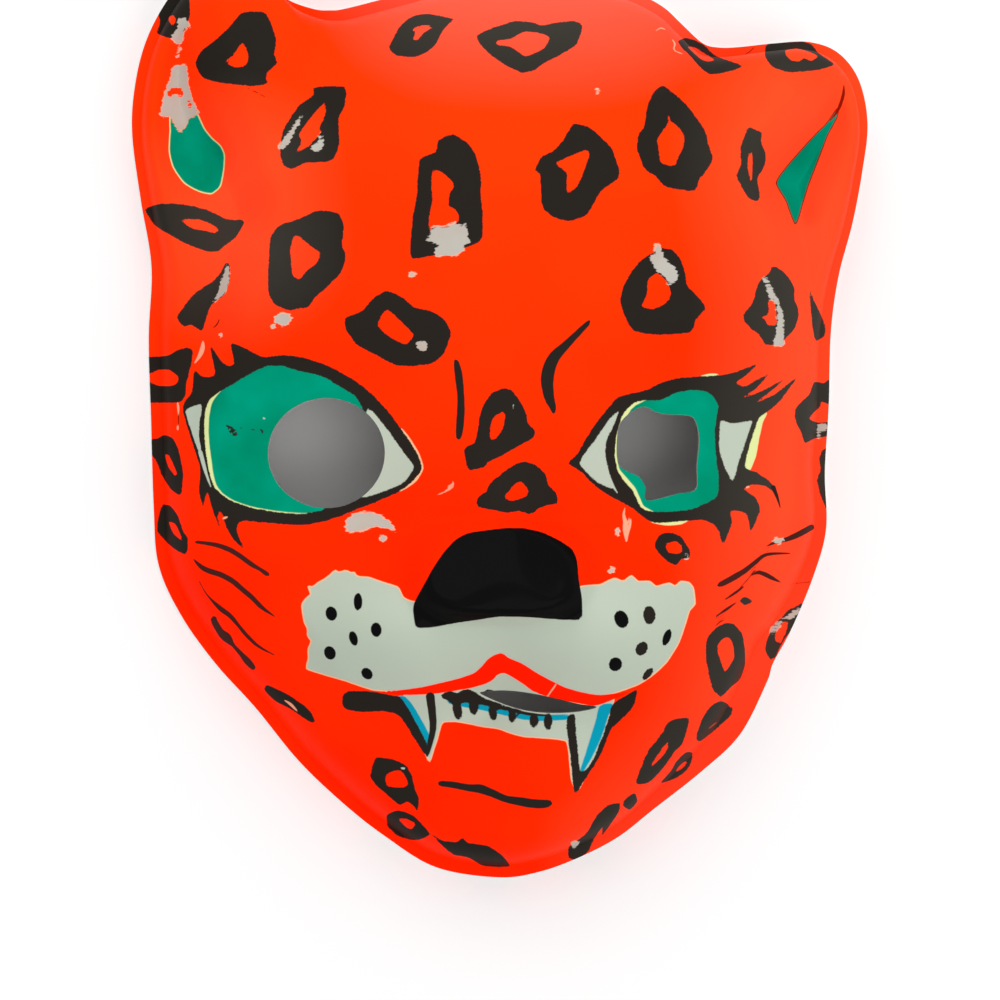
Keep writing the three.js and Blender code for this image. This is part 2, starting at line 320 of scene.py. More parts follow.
LEFT_EAR_CUP: Outline = (
    (-70.5, 82), (-73.8, 75), (-74.6, 66.5), (-73.8, 58), (-71, 51), (-66.5, 48), (-62.5, 50.5),
    (-61.7, 55.5), (-64.8, 62.5), (-68, 69), (-69.6, 75),
)
RIGHT_EAR_CUP: Outline = (
    (77, 76), (72.2, 66.5), (66.3, 58.5), (61.6, 52.3), (63.6, 47.8), (65.9, 43.8),
    (67.9, 47.9), (70.2, 54.5), (73, 62), (76, 70),
)
RIGHT_EYE_HOLE: Outline = (
    (26.6, 0.7), (24.6, -0.5), (22.8, -2.5), (22.2, -5), (22.1, -8.9), (22.7, -11.3),
    (24.7, -12.6), (26.9, -13.6), (28.3, -15.8), (28.6, -18.5), (35.2, -17.1), (39.1, -16.1),
    (39.3, -11.3), (39.7, -5.6), (39, -2.1), (37.7, -0.8), (33.7, -0.6), (30.8, -0.2), (28.2, 1),
)
MOUTH_SLIT: Outline = (
    (-6.3, -58.2), (-4.8, -59.3), (-1.3, -60.9), (2.9, -62.1), (8.1, -62.6), (14.2, -62.3),
    (18, -61.3), (14.1, -60.5), (9.7, -59.3), (4.6, -58.3), (-0.6, -57.8), (-3.8, -57.9),
)


@dataclass(frozen=True)
class MaskForm:
    """The mask's form in millimetres: x to the viewer's right, y to the ears, z out of the face."""

    width: float = 167.0
    height: float = 208.0
    wall: float = 0.8
    flange: float = 2.6
    jowl_extra: float = 4.0
    jowl_degrees: float = -48.0
    jowl_spread: float = 14.0
    face_x: float = -2.8
    face_wall: Wall = Wall(19, 13, 2.3)
    band_wall: Wall = Wall(12.5, 7.5, 2.2)
    crown_height: float = 12.0
    crown_half_width: float = 84.0
    crown_half_height: float = 104.0
    relief_fade: float = 26.0
    crease: Crease = Crease()
    ear_slope: tuple[float, float] = (4.0, 5.0)
    ear_floor: float = 6.5
    ear_depth_share: float = 0.75
    steepest: float = 0.2
    foot_mitre: float = 0.45
    knots: int = 23
    wall_steps: tuple[float, ...] = (0.0, 1.6, 3.8, 7.0, 11.0)
    round_until: float = 0.5
    rim_lines_from: float = 0.86
    lower_right: float = -50.0
    grid_corner_turn: float = 1.125
    rim_steps: int = 12
    form_steps: int = 5
    nose: NosePad = NosePad()
    swells: tuple[Swell, ...] = (
        Swell(6, 4, 50, 38, 27), Swell(3, -52, 80, 15, 15), Swell(3, 62, 67, 15, 14),
        Swell(-2.2, -35, 83, 5, 16, -12), Swell(-2.2, 51, 75, 5, 14, 20),
        Swell(1.6, -38, 18, 24, 9, 3), Swell(1.6, 38, 18, 24, 9, -3),
        Swell(-3, -36, -5, 22, 16), Swell(2.6, -36, -5, 14, 10),
        Swell(-3, 36, -5, 22, 16), Swell(2.6, 36, -5, 14, 10),
        Swell(1.5, -51, -30, 14, 14), Swell(1.5, 53, -30, 14, 14),
        Swell(7, 0, -8, 16, 27), Swell(7.5, 0, -26, 13, 14), Swell(-4, 0, -48, 9, 14),
        Swell(2.5, 0, -70, 18, 8), Swell(4, 2, -82, 22, 13),
        Lobe(15, -17.5, -44, 32, 24), Lobe(15, 17.5, -44, 32, 24),
    )

    def rim(self, count: int) -> np.ndarray:
        """The rim's outline, fitted exactly into the width and height.

        Args:
            count: How many evenly spaced points to return.

        Returns:
            The points, one a row, starting at the lower right.
        """
        loop = even_loop(spline(np.array(RIM_OUTLINE), self.rim_steps, True), count)
        low, high = loop.min(axis=0), loop.max(axis=0)
        loop = (loop - (low + high) / 2) * np.array([self.width, self.height]) / (high - low)
        directions = np.arctan2(loop[:, 1], loop[:, 0])
        start = int(np.argmin(np.abs(directions - math.radians(self.lower_right))))
        return np.roll(loop, -start, axis=0)

    def flange_width(self, on_rim: np.ndarray) -> np.ndarray:
        """Width of the flat flange at rim points: wider below the right cheek."""
        angle = np.degrees(np.arctan2(on_rim[:, 1], on_rim[:, 0]))
        away = (angle - self.jowl_degrees) / self.jowl_spread
        return self.flange + self.jowl_extra * np.exp(-(away**2))

    def distance_in(self, share: np.ndarray, on_rim: np.ndarray) -> np.ndarray:
        """Distance in from the rim at shares of the way out.

        Args:
            share: Shares of the way from the middle, 0, to the rim, 1.
            on_rim: The rim point that each share lies towards.

        Returns:
            Distances in millimetres: fixed steps up the wall, and even ones inside.
        """
        flange = self.flange_width(on_rim)
        radius = np.linalg.norm(on_rim, axis=1)
        steps = [np.zeros_like(flange)] + [flange + step for step in self.wall_steps]
        from_rim = (1 - share) * self.knots
        last = len(steps) - 1
        inland = (from_rim - last) / (self.knots - last)
        distance = steps[last] + (radius - steps[last]) * inland
        for index in range(last):
            here = (from_rim >= index) & (from_rim < index + 1)
            between = steps[index] + (steps[index + 1] - steps[index]) * (from_rim - index)
            distance = np.where(here, between, distance)
        return distance

    def features(self, x: np.ndarray, y: np.ndarray) -> np.ndarray:
        """Height of what stands on the face's dome.

        Args:
            x: Places across, from the face's centre line.
            y: Places up the face.

        Returns:
            Heights in millimetres.
        """
        total = sum(swell.rise(x, y) for swell in self.swells)
        return total + self.nose.rise(x, y)

    def outer_height(self, places: np.ndarray, edge: np.ndarray, from_foot: np.ndarray) -> np.ndarray:
        """Height of the outer surface.

        Args:
            places: Points of the mask's plan, one a row.
            edge: Their distances in from the rim.
            from_foot: Their distances in from the wall's foot, negative on the flange.

        Returns:
            Heights in millimetres.
        """
        x, y = places[:, 0], places[:, 1]
        oval = np.clip(1 - (x / self.crown_half_width) ** 2 - (y / self.crown_half_height) ** 2, 0, 1)
        relief = self.crown_height * oval + self.features(x - self.face_x, y)
        dome = self.face_wall.rise(from_foot) + relief * ease(edge, 0, self.relief_fade)
        band = self.band_wall.rise(from_foot)
        crease = -loop_distance(places, spline(np.array(FACE_CREASE), self.form_steps, True))
        height = band + (dome - band) * self.crease.share(crease)
        for cup in (LEFT_EAR_CUP, RIGHT_EAR_CUP):
            depth = -loop_distance(places, spline(np.array(cup), self.form_steps, True))
            sunk = ease(depth, -self.ear_slope[0], self.ear_slope[1])
            height = height - self.ear_depth_share * sunk * np.maximum(height - self.ear_floor, 0)
        return self.wall + np.where(from_foot > 0, np.maximum(height, 0), 0)

    def surface(self, a: np.ndarray, b: np.ndarray, rings: int) -> np.ndarray:
        """The outer surface over a square grid whose outer lines follow the rim.

        Args:
            a: Grid columns, from -1 to 1.
            b: Grid rows, from -1 to 1.
            rings: Grid lines from the middle to the rim.

        Returns:
            Points in millimetres, one a row.
        """
        ring = np.maximum(np.abs(a), np.abs(b))
        safe = np.maximum(ring, ON_LINE)
        square_turn = np.select(
            [
                (a >= ring - ON_LINE) & (b < ring - ON_LINE),
                (b >= ring - ON_LINE) & (a > -ring + ON_LINE),
                (a <= -ring + ON_LINE) & (b > -ring + ON_LINE),
            ],
            [(b + ring) / (8 * safe), (3 * ring - a) / (8 * safe), (5 * ring - b) / (8 * safe)],
            (7 * ring + a) / (8 * safe),
        )
        across = a * np.sqrt(1 - b**2 / 2)
        up = b * np.sqrt(1 - a**2 / 2)
        round_turn = np.mod(np.arctan2(up, across) / (2 * math.pi) + self.grid_corner_turn, 1)
        outward = ease(ring, self.round_until, self.rim_lines_from)
        apart = np.mod(square_turn - round_turn + 0.5, 1) - 0.5
        turn = np.mod(round_turn + apart * outward, 1)
        share = np.hypot(across, up) * (1 - outward) + ring * outward
        rim = self.rim(8 * rings)
        place = turn * len(rim)
        first = np.floor(place).astype(int)
        part = (place - first)[:, None]
        on_rim = rim[first % len(rim)] * (1 - part) + rim[(first + 1) % len(rim)] * part
        edge = self.distance_in(share, on_rim)
        plan = on_rim * (1 - edge / np.linalg.norm(on_rim, axis=1))[:, None]
        z = self.outer_height(plan, edge, edge - self.flange_width(on_rim))
        return np.column_stack([plan, z])


class Layer(Enum):
    """The paints in the order they lie on the plastic, then the bare places, then the painted sheen on the
    sides and at the forehead's top.
    """

    UNDER = "under"
    FRINGE = "fringe"
    BROWN = "brown"
    WHITE = "white"
    GREEN = "green"
    BLUE = "blue"
    LIP = "lip"
    BLACK = "black"
    PITCH = "pitch"
    BARE = "bare"
    # Painted sheen: paler colour on the sides and at the forehead's top, where soft light would reflect.
    PAINTED_SHEEN = "haze"
    PAINTED_TOP_SHEEN = "film"


# Paints that leave places free: the spots' orange middles, and paint left standing in a chip.
GAPPED: tuple[Layer, ...] = (Layer.BLACK, Layer.BARE)
# The paints that brush lines are drawn in, each with the number that its colour goes by.
LINE_TONES: dict[Layer, float] = {Layer.BLACK: 0.0, Layer.BROWN: 1.0, Layer.BARE: 2.0, Layer.WHITE: 3.0}
DOT_CORNERS = 8


def gap_name(layer: Layer) -> str:
    """Name of the number that tells how far it is to the gaps in a paint."""
    return layer.value + "_gap"


@dataclass(frozen=True)
class Patch:
    """A closed painted area in picture coordinates, less the gaps left in it.

    The paint runs on by the grown width, under what is painted over its edge.
    """

    layer: Layer
    outline: Outline
    gaps: tuple[Outline, ...] = ()
    grown: float = 0.0
    steps: int = 4
    roundness: float = 0.28

    def box(self) -> tuple[np.ndarray, np.ndarray]:
        """Lowest and highest picture coordinates of the area."""
        corners = np.array(self.outline, float)
        return corners.min(axis=0) - self.grown, corners.max(axis=0) + self.grown

    def edge_distance(self, places: np.ndarray, outline: Outline) -> np.ndarray:
        """Signed distance of picture places to one of the area's outlines."""
        return loop_distance(places, spline(np.array(outline), self.steps, True, self.roundness))

    def distance(self, places: np.ndarray) -> np.ndarray:
        """Signed distance of picture places to the area's edge, negative on the paint."""
        return self.edge_distance(places, self.outline) - self.grown

    def gap_distance(self, places: np.ndarray) -> np.ndarray:
        """Signed distance of picture places to the nearest gap, negative in it."""
        return np.min([self.edge_distance(places, gap) for gap in self.gaps], axis=0)


@dataclass(frozen=True)
class Stroke:
    """A brush line in picture coordinates: its points, each with the line's half-width there.

    A thin line lets the paint below tinge it.
    """

    layer: Layer
    points: tuple[Point3, ...]
    thinness: float = 0.0
    steps: int = 4

    def box(self) -> tuple[np.ndarray, np.ndarray]:
        """Lowest and highest picture coordinates of the line."""
        line = np.array(self.points, float)
        widest = line[:, 2].max()
        return line[:, :2].min(axis=0) - widest, line[:, :2].max(axis=0) + widest

    def beside(self, places: np.ndarray) -> np.ndarray:
        """Where picture places lie beside the line.

        Args:
            places: Picture coordinates, one a row.

        Returns:
            Four rows: how far to the line's left or right, the line's half-width there, the
            distance to its middle, and the distance to its edge.
        """
        line = spline(np.array(self.points, float), self.steps, False)
        found = np.full((4, len(places)), np.inf)
        last = len(line) - 2
        for index, (start, end) in enumerate(zip(line[:-1], line[1:])):
            run = end[:2] - start[:2]
            length = float(np.hypot(run[0], run[1]))
            away = places - start[:2]
            side = (away[:, 0] * run[1] - away[:, 1] * run[0]) / length
            past = away @ run / length
            near, along = segment_gaps(places, start[:2], end[:2])
            half = start[2] + (end[2] - start[2]) * along
            edge = near - half
            if index == 0:
                half = half - np.maximum(-past, 0)
            if index == last:
                half = half - np.maximum(past - length, 0)
            nearer = edge < found[3]
            found = np.where(nearer, np.stack([side, half, near, edge]), found)
        return found

    def distance(self, places: np.ndarray) -> np.ndarray:
        """Signed distance of picture places to the line's edge, negative on the paint."""
        return self.beside(places)[3]


def dot(x: float, y: float, half_width: float, half_height: float, tilt: float = 0.0,
        layer: Layer = Layer.BLACK) -> Patch:
    """A round or oval dab of paint.

    Args:
        x: The dab's middle, across the picture.
        y: The dab's middle, down the picture.
        half_width: Half the dab's width.
        half_height: Half the dab's height.
        tilt: Its turn, in degrees.
        layer: The paint it is made with.

    Returns:
        The dab.
    """
    angle = math.radians(tilt)
    turns = [2 * math.pi * step / DOT_CORNERS for step in range(DOT_CORNERS)]
    corners = [(half_width * math.cos(turn), half_height * math.sin(turn)) for turn in turns]
    outline = tuple(
        (x + u * math.cos(angle) - v * math.sin(angle), y + u * math.sin(angle) + v * math.cos(angle))
        for u, v in corners
    )
    return Patch(layer, outline, roundness=0.5)


def spot(outline: Outline, *gaps: Outline) -> Patch:
    """A black leopard spot, with the orange middle left in it."""
    return Patch(Layer.BLACK, outline, gaps)


def chip(*outline: Point) -> Patch:
    """A place where the paint has come off the plastic."""
    return Patch(Layer.BARE, outline)


def fleck(x: float, y: float, half_width: float, half_height: float) -> Patch:
    """A small round place where the paint has come off the plastic."""
    return dot(x, y, half_width, half_height, layer=Layer.BARE)


def scratch(*points: Point3) -> Stroke:
    """A fine line where the paint has come off the plastic."""
    return Stroke(Layer.BARE, points)


def whisker(*points: Point3, thinness: float = 0.18) -> Stroke:
    """A black line thin enough for the orange below to tinge it."""
    return Stroke(Layer.BLACK, points, thinness)


SPOTS: tuple[Patch, ...] = (
    spot(((150, -8), (170, -14), (188, -6), (190, 14), (186, 28), (178, 37), (168, 38), (157, 33),
          (160, 20)), ((168, 18), (173, 15), (176, 20), (172, 26))),
    spot(((195.4, 63.6), (202.5, 77.5), (220.7, 83), (250.7, 86), (268, 84), (265.7, 74.3), (277.5, 63.6),
          (274.3, 55), (276.4, 40), (271, 23), (264, 12), (243, 12), (229, 27), (214.3, 41), (201.4, 50.7)),
         ((225, 61.4), (233.6, 55), (242, 43.2), (246.4, 48.6), (248.6, 59.3), (244.3, 66.8), (233.6, 66.8))),
    spot(((345, 87), (345, 104.3), (338.6, 119.3), (339.6, 143), (334.3, 158), (325.7, 162), (304.3, 163.2),
          (291.4, 169.6), (283, 164.3), (279.6, 151.4), (283, 130), (293.6, 113), (300, 104.3),
          (313, 95.7), (315, 87)),
         ((325.7, 102), (325.7, 113), (319.3, 128), (321.4, 132), (309.6, 145), (296.8, 152.5),
          (302, 140.7), (299, 134.3), (313, 115))),
    spot(((419.8, 159.6), (424, 156), (436.3, 151.6), (437, 146), (438.8, 140), (452, 134), (464, 140),
          (470.6, 146), (476.7, 158), (481, 175.5), (481, 198.8), (482.8, 213.4), (482.2, 238),
          (476.7, 243.4), (465.7, 247.7), (440, 254), (411.8, 258.7), (410.6, 244), (412.4, 219.6),
          (416.7, 195), (418, 170.6)),
         ((432.6, 170.6), (438.8, 170.6), (447.3, 176.7), (454.7, 185.3), (449.8, 192.6), (448.5, 206),
          (455.9, 209.8), (459.6, 218.3), (457, 223), (446, 227), (432.6, 227), (427.7, 236.7),
          (430, 213.4), (432.6, 201), (431.4, 186.5))),
    spot(((573, 124), (589, 127), (601, 137), (612, 149), (620, 176), (601, 191), (587, 215),
          (568, 221), (553, 217), (542, 206), (540, 175), (535, 170), (541, 157), (553, 151),
          (564, 139)), ((556, 163), (586, 150), (589, 156), (578, 185), (567, 193), (567, 173))),
    spot(((662.9, 85.4), (672, 91.8), (685, 103), (694, 114), (705, 130.4), (708.8, 145), (713, 159),
          (705, 172.7), (698.7, 180), (695, 191), (677.6, 189.2), (664.7, 186.4), (655.5, 176.3),
          (644, 168), (637, 149), (638, 136), (644, 126), (647, 108), (653.7, 91.8)),
         ((668.4, 114), (671, 121.2), (677.6, 126.7), (684, 136), (683, 147), (677.6, 158), (674, 166.2),
          (661, 162.6), (659.2, 150.6), (657.3, 139.6), (663, 130.4), (667.5, 125))),
    spot(((748, 126.6), (761.6, 133), (761, 142), (765.8, 153.4), (764.4, 167), (757.5, 178), (760, 196),
          (757.5, 201.4), (749.3, 198.6), (741, 186.3), (736.2, 175.3), (741, 164.4), (740.3, 148),
          (745.2, 134.2)),
         ((750, 151), (752.4, 153), (752.4, 166), (751.6, 182), (749.4, 176), (747.4, 163))),
    spot(((388.8, 47), (400.5, 25.8), (412.3, 16.4), (426.3, 13.6), (442.8, 16.4), (453.3, 19.2),
          (442.8, 30.5), (435.7, 44.6), (424, 54), (412.3, 57.5), (395.8, 55.2)),
         ((412, 28.6), (422.8, 25.4), (433, 26.6), (424, 32.4), (418, 39.6), (413, 39.4), (415.4, 32.4))),
    spot(((476.8, 35.2), (492, 28.2), (515.5, 21), (532, 22.3), (541.4, 25.4), (557.8, 22.3), (574.2, 21),
          (582.4, 25.8), (576.6, 44.6), (557.8, 56.3), (543.7, 63.4), (534.3, 70.4), (522.6, 72.8),
          (508.5, 67), (492, 56.3), (480.3, 44.6)),
         ((495.6, 41), (510.8, 38.7), (524.9, 31.7), (543.7, 34), (549.6, 38.7), (543.7, 48),
          (527.3, 56.3), (520, 52.8), (510.8, 47), (498, 44.6))),
    spot(((678, 41), (687.7, 37.8), (704, 45), (716.4, 56.2), (742.5, 65.8), (728.8, 71.8), (711, 74.5),
          (701.4, 68.5), (690.4, 56.2), (682.2, 48)),
         ((688, 47), (694.5, 47.6), (705, 54), (714, 59.6), (708.6, 61.6), (701.4, 59.4), (694, 53))),
    spot(((765.8, 45.2), (775.3, 42.5), (802.7, 41.6), (812.3, 45.2), (819.2, 53.4), (834.2, 64.4),
          (819.2, 69.9), (802.7, 71.8), (786.3, 71.8), (772.6, 67), (765, 56.2)),
         ((785, 50.7), (797.3, 48.8), (809.6, 52), (817.8, 56.2), (811, 60.8), (804, 58), (798.6, 61.6),
          (789, 58.9))),
    spot(((145, 209), (161, 203.7), (177.5, 203.7), (194, 206.4), (210.6, 211), (227, 219.3), (244.5, 220.6),
          (236.3, 236.7), (223.5, 246.8), (218, 251.4), (207, 251.4), (186.7, 244), (164.7, 232),
          (153.7, 224)),
         ((180.3, 219.3), (189.5, 219.3), (199.6, 219.8), (208.8, 223), (219.4, 229), (214.3, 232.7),
          (203.3, 230.3), (194, 228.5), (186.7, 224.8))),
    spot(((330, 211), (316, 211), (301, 218), (280, 225), (271, 236), (269, 252), (268, 290),
          (275, 304.7), (289.6, 310.2), (309, 306.5), (315.3, 297.4), (330, 284.5), (342, 271),
          (346, 255), (342, 246), (344, 227), (340, 215)),
         ((294.2, 235.8), (300.6, 237.7), (309.8, 245.9), (319.9, 253.3), (316.2, 263.4), (307, 269.8),
          (299.7, 279), (293.3, 276.2), (291.4, 267), (290.5, 249.6))),
    spot(((345, 318), (362, 311), (374, 297), (387, 291), (402, 297), (414, 307), (431, 311),
          (445, 320), (451, 335), (443, 355), (431, 364), (412, 366), (395, 365), (372, 353),
          (357, 345), (346, 330)),
         ((378, 326), (381, 316), (387, 310), (393, 314), (413, 334), (411, 340), (405, 344),
          (391, 338))),
    spot(((641, 260), (649, 255), (662, 248), (673, 250), (681, 260), (686, 275), (687, 285), (699, 298),
          (706, 308), (696, 319), (691, 332), (660, 335), (634, 331), (625, 317), (620, 301), (624, 285),
          (632, 271)),
         ((648, 280), (657, 273), (667, 282), (671, 296), (663, 305), (652, 309), (642, 306), (647, 294))),
    spot(((769.8, 268), (775.3, 266.7), (781.4, 269.8), (788.8, 277.8), (794.3, 287.6), (794.3, 298.6),
          (798, 308.4), (798.6, 315.7), (795, 328), (788.8, 335.3), (784, 340.2), (779, 345), (765.5, 344.5),
          (758.8, 334), (752, 329.8), (744.7, 321.8), (743.5, 314.5), (748.4, 308.4), (753.3, 301),
          (755.7, 291.2), (759.4, 281.4), (769.8, 272.2)),
         ((768, 299.8), (773, 299.8), (775.3, 304.7), (776.5, 324.3), (768, 325), (765.5, 320.6),
          (761.8, 317.6), (766.7, 315.7), (769.2, 309.6))),
    spot(((809.4, 288.8), (813.3, 298.6), (818, 308.4), (821.2, 315.7), (825, 325.5), (825, 335.3),
          (817, 340.8), (814.5, 337.8), (812, 323), (810.2, 303.5))),
    spot(((226.2, 262.5), (230, 266), (229, 282.7), (223.5, 295.5), (213.4, 303), (208.8, 310.2),
          (203.3, 328.6), (200.5, 330.8), (191.3, 325), (184, 326.7), (176.6, 317.6), (184, 306.5),
          (194, 293.7), (212.5, 281.7), (219.8, 273.5))),
    spot(((138, 358), (150.7, 357), (168, 355.5), (177.8, 349.7), (187.6, 347.7), (192.6, 350.5),
          (191.7, 363), (186.8, 382.6), (185.2, 395.7), (179.4, 402.3), (161.4, 402.6), (138, 401)),
         ((147, 375), (159, 370), (169.6, 370), (178, 376.8), (177, 383.4), (169.6, 386), (158, 385.5),
          (149, 381))),
    spot(((140, 441), (153, 439), (159.7, 437.6), (164.6, 435), (173, 438.4), (178.6, 450), (183, 471.3),
          (182, 491), (179.4, 495), (171, 489.4), (161.4, 474.6), (155.6, 459.8)),
         ((165.2, 455), (169, 455.7), (176.6, 472), (175.6, 476), (168.4, 467))),
    spot(((163, 505), (170.4, 505.8), (177.8, 515.6), (183.5, 532), (187.6, 537.8), (187.6, 550),
          (184.4, 554.2), (176, 550), (166.3, 542), (157.2, 531.2), (159, 514)),
         ((168.7, 522), (175.3, 524), (181, 536), (182, 540.6), (173.7, 534))),
    spot(((264.3, 690), (267, 685), (275.7, 688.6), (290, 695.7), (304.3, 705.7), (311.4, 713),
          (315, 721.4), (312, 722.6), (304.3, 718.6), (290, 708.6), (275.7, 701.4))),
    spot(((375.8, 757.5), (393.3, 759.3), (406, 765.7), (411.6, 775), (415.3, 789.6), (419, 798.8),
          (417.5, 812.6), (414.4, 807), (408, 801.5), (399.7, 805.2), (395, 801.5), (376.7, 786),
          (370.3, 776.7), (372, 767.6)),
         ((398.8, 770.3), (404.3, 775), (408, 784), (403.4, 787.4), (387.8, 786.3), (385.4, 778.6),
          (388.7, 773))),
    spot(((400.6, 810.7), (412.6, 815.3), (420.8, 822.7), (430, 834), (420.8, 839.2), (411.6, 840),
          (397, 835.5), (387.8, 826.3), (386.8, 815.3), (393.3, 811.6)),
         ((398.8, 819), (407, 819), (415.3, 823.6), (411.6, 829), (406, 827.2))),
    spot(((431.8, 834.6), (443, 840.7), (457.6, 842), (462, 837.4), (468.6, 843), (487, 845.6),
          (501.6, 854.8), (510, 865.8), (499.8, 866.8), (481.4, 865), (468.6, 857.6), (454, 854.8),
          (443, 846.5))),
    spot(((715.4, 628), (725.7, 623), (734, 624.3), (742.4, 634.5), (745, 650), (745, 665.4),
          (739.8, 679.5), (730.8, 687.2), (723.8, 695), (720, 696.2), (713, 689.8), (709, 675.7),
          (706.2, 660.3), (705.8, 650), (706.4, 639.7)),
         ((725.7, 637), (730.8, 639.7), (733.4, 647.4), (734, 657.7), (729, 666.7), (725, 671.8),
          (721.2, 662.8), (718, 652.5), (718.6, 643.5))),
    spot(((768, 637), (765.4, 645), (766.2, 652.5), (772.6, 662.2), (777, 655), (782.3, 643.5), (790, 632),
          (800.3, 611.4), (803, 603), (788.7, 610), (782.3, 616.6), (773, 626)),
         ((776, 631), (783, 622), (788, 622), (785, 634), (780, 644), (775.6, 640))),
    spot(((719.3, 701.4), (725.7, 702.7), (734, 709.7), (729.6, 716.8), (719.3, 725.8), (707.7, 736),
          (700, 741.6), (696.4, 739.6), (697, 733), (703, 717), (711, 706))),
    spot(((689.4, 719), (680.3, 718), (669, 721.4), (660, 736), (649, 749.4), (640, 769.6), (636, 784),
          (647.8, 783), (655, 777), (666, 764.6), (675, 751), (682, 745), (686, 733)),
         ((665.4, 744), (668, 742.6), (667.4, 749), (663, 755.6), (657.4, 761.6), (651, 766.8),
          (653, 762), (659.6, 752.6))),
    spot(((692.7, 753), (686, 752), (677, 760.6), (670.2, 771.8), (660, 783.4), (672.5, 779.4),
          (684.4, 773), (691, 763)),
         ((683.6, 762), (687, 761.4), (685.6, 765.4), (681, 768.8), (676, 771.6), (677, 768.6))),
    spot(((634.3, 793), (637.7, 801), (629.8, 810), (623, 805.5), (624.2, 800))),
    spot(((619.7, 803.3), (607.3, 805.5), (596, 816.7), (587, 832.5), (576, 841.4), (568.6, 847),
          (568.6, 858), (577, 859.4), (587, 852.7), (594, 839.2), (600, 830), (602.6, 826.6),
          (602, 835.4), (609.6, 825.7), (618.6, 812.2))),
    spot(((654.3, 545.3), (657.6, 537), (664, 533), (673.9, 533), (682, 538), (690, 550), (689.4, 558.4),
          (682, 558.4), (676.3, 565.2), (667.3, 561.6), (659.2, 553.5)),
         ((665.7, 544.5), (675.5, 541.2), (682, 547), (680.4, 553.5), (669, 552.7))),
    spot(((835, 378), (824.3, 382.9), (814.3, 382), (809.3, 394.3), (800, 403), (795, 410), (795.7, 421.4),
          (801.4, 433), (805, 443), (814.3, 438.6), (835, 431)),
         ((821.4, 401.4), (828, 404), (836, 406), (836, 420), (818.6, 422.6), (809.3, 419), (814.3, 412),
          (820, 407))),
    spot(((832, 443), (827, 447), (821.4, 451.4), (819.3, 460), (820.4, 470), (817, 480), (820, 494),
          (826.4, 508.6), (834, 514), (838, 480))),
    spot(((464, 450.2), (467.3, 446), (474, 443), (477, 434), (479.6, 416), (483.7, 404.5), (491.8, 393),
          (505, 388.2), (513, 391.4), (521.2, 403), (526, 412.7), (528.6, 424), (534.3, 429), (534.6, 437),
          (526, 442), (511.4, 450.2), (498.4, 457.6), (488.6, 461.6), (485.3, 466.5), (470.6, 470.6),
          (466.5, 465)),
         ((503.3, 411.8), (505, 415), (503.3, 427.3), (498.4, 435.5), (491.8, 440.4), (490.2, 435.5),
          (491, 424), (495, 416))),
    spot(((476.3, 500), (482, 493.5), (486, 491.8), (490.2, 483), (500, 474.7), (513, 465), (524.5, 461.6),
          (536, 465), (545.7, 474.7), (549, 486), (556.3, 492.7), (558, 503.3), (549, 505), (537.6, 509),
          (531, 514.7), (519.6, 511.4), (508, 513), (495, 510.6), (478.8, 507.3)),
         ((520.4, 481.2), (527.8, 489.4), (527, 496), (521.2, 498.4), (511.4, 500.5), (504, 497.6),
          (508, 492.7), (513, 486))),
)

BEYOND_THE_PICTURE: tuple[Patch, ...] = (
    spot(((224, -17), (238, -20), (252, -15), (250, -8), (236, -4), (224, -8)),
         ((233, -14), (242, -14.6), (241, -9.6), (233, -9.6))),
    spot(((418, -10), (446, -15.4), (478, -11), (470, -5), (440, -3)),
         ((438, -10), (458, -11), (452, -7))),
    spot(((566, -14), (598, -18), (622, -11), (606, -5), (578, -6)), ((584, -12), (602, -13), (596, -8.6))),
)

LEFT_EYE_OPEN: Outline = (
    (209, 400.5), (218.5, 392.5), (238, 381), (255, 371), (268, 366), (283, 366), (299, 371), (321, 376),
    (339, 386), (356, 397), (363, 413), (352, 452), (338, 490), (324, 509), (312.6, 512), (302, 514),
    (286, 513), (267, 510.5), (249, 507), (233, 501.5), (222.4, 495), (214.5, 487), (210, 474),
    (207, 459.6), (205.3, 445), (204.3, 433), (205, 413),
)
LEFT_IRIS: Outline = (
    (219, 393), (236, 377), (253, 367), (267, 362), (283, 362), (300, 367), (322, 372), (341, 382),
    (360, 394), (367, 413), (356, 453), (342, 492), (328, 512), (315, 512.6), (303, 513.2), (287, 512.2),
    (268, 509.7), (250, 506.2), (234, 500.6), (223, 493.6), (216, 484.4), (213, 472), (211.3, 459.6),
    (209.5, 446), (208.6, 433), (209, 418), (212, 403),
)
LEFT_EYE_RIGHT_WHITE: Outline = (
    (367, 408), (379, 419), (392, 436), (404, 453), (414, 467), (404, 482), (387, 490), (362, 497),
    (366, 470), (362, 440),
)
LEFT_EYE_LEFT_WHITE: Outline = (
    (185.8, 410), (201.7, 404.4), (199.6, 421), (199, 436), (200.6, 447), (201.6, 454), (200, 456),
    (194.6, 441), (190.4, 428),
)
LEFT_EYE_BLACK: Outline = (
    (185, 401), (192, 392), (194, 370), (201, 376), (210, 377), (215, 373), (210, 345), (221, 361),
    (229, 366), (234, 363), (231, 343), (247, 349), (263, 357), (283, 355), (306, 358), (329, 366),
    (354, 380), (371, 393), (387, 410), (404, 433), (417, 453), (422, 469), (412, 482), (395, 494),
    (371, 504), (346, 514), (326, 521), (304, 525), (279, 524), (243, 521), (237, 527), (239, 538),
    (246, 551), (234, 540), (226, 527), (222.4, 514), (219.4, 511.6), (218, 518), (221, 531),
    (214, 515), (210, 500), (207.4, 492), (205, 498), (203.4, 507), (199, 492), (200, 468), (194.6, 450),
    (189.4, 434), (185.2, 420), (182.8, 409),
)
RIGHT_EYE_LEFT_WHITE: Outline = (
    (579.6, 463.2), (586, 452), (597, 437), (609, 420), (618.3, 411.2), (614.4, 423.5), (606.5, 440.6),
    (605.3, 453), (607.8, 467.6), (612, 482), (614.4, 489), (599.2, 483.5), (587, 472.5),
)
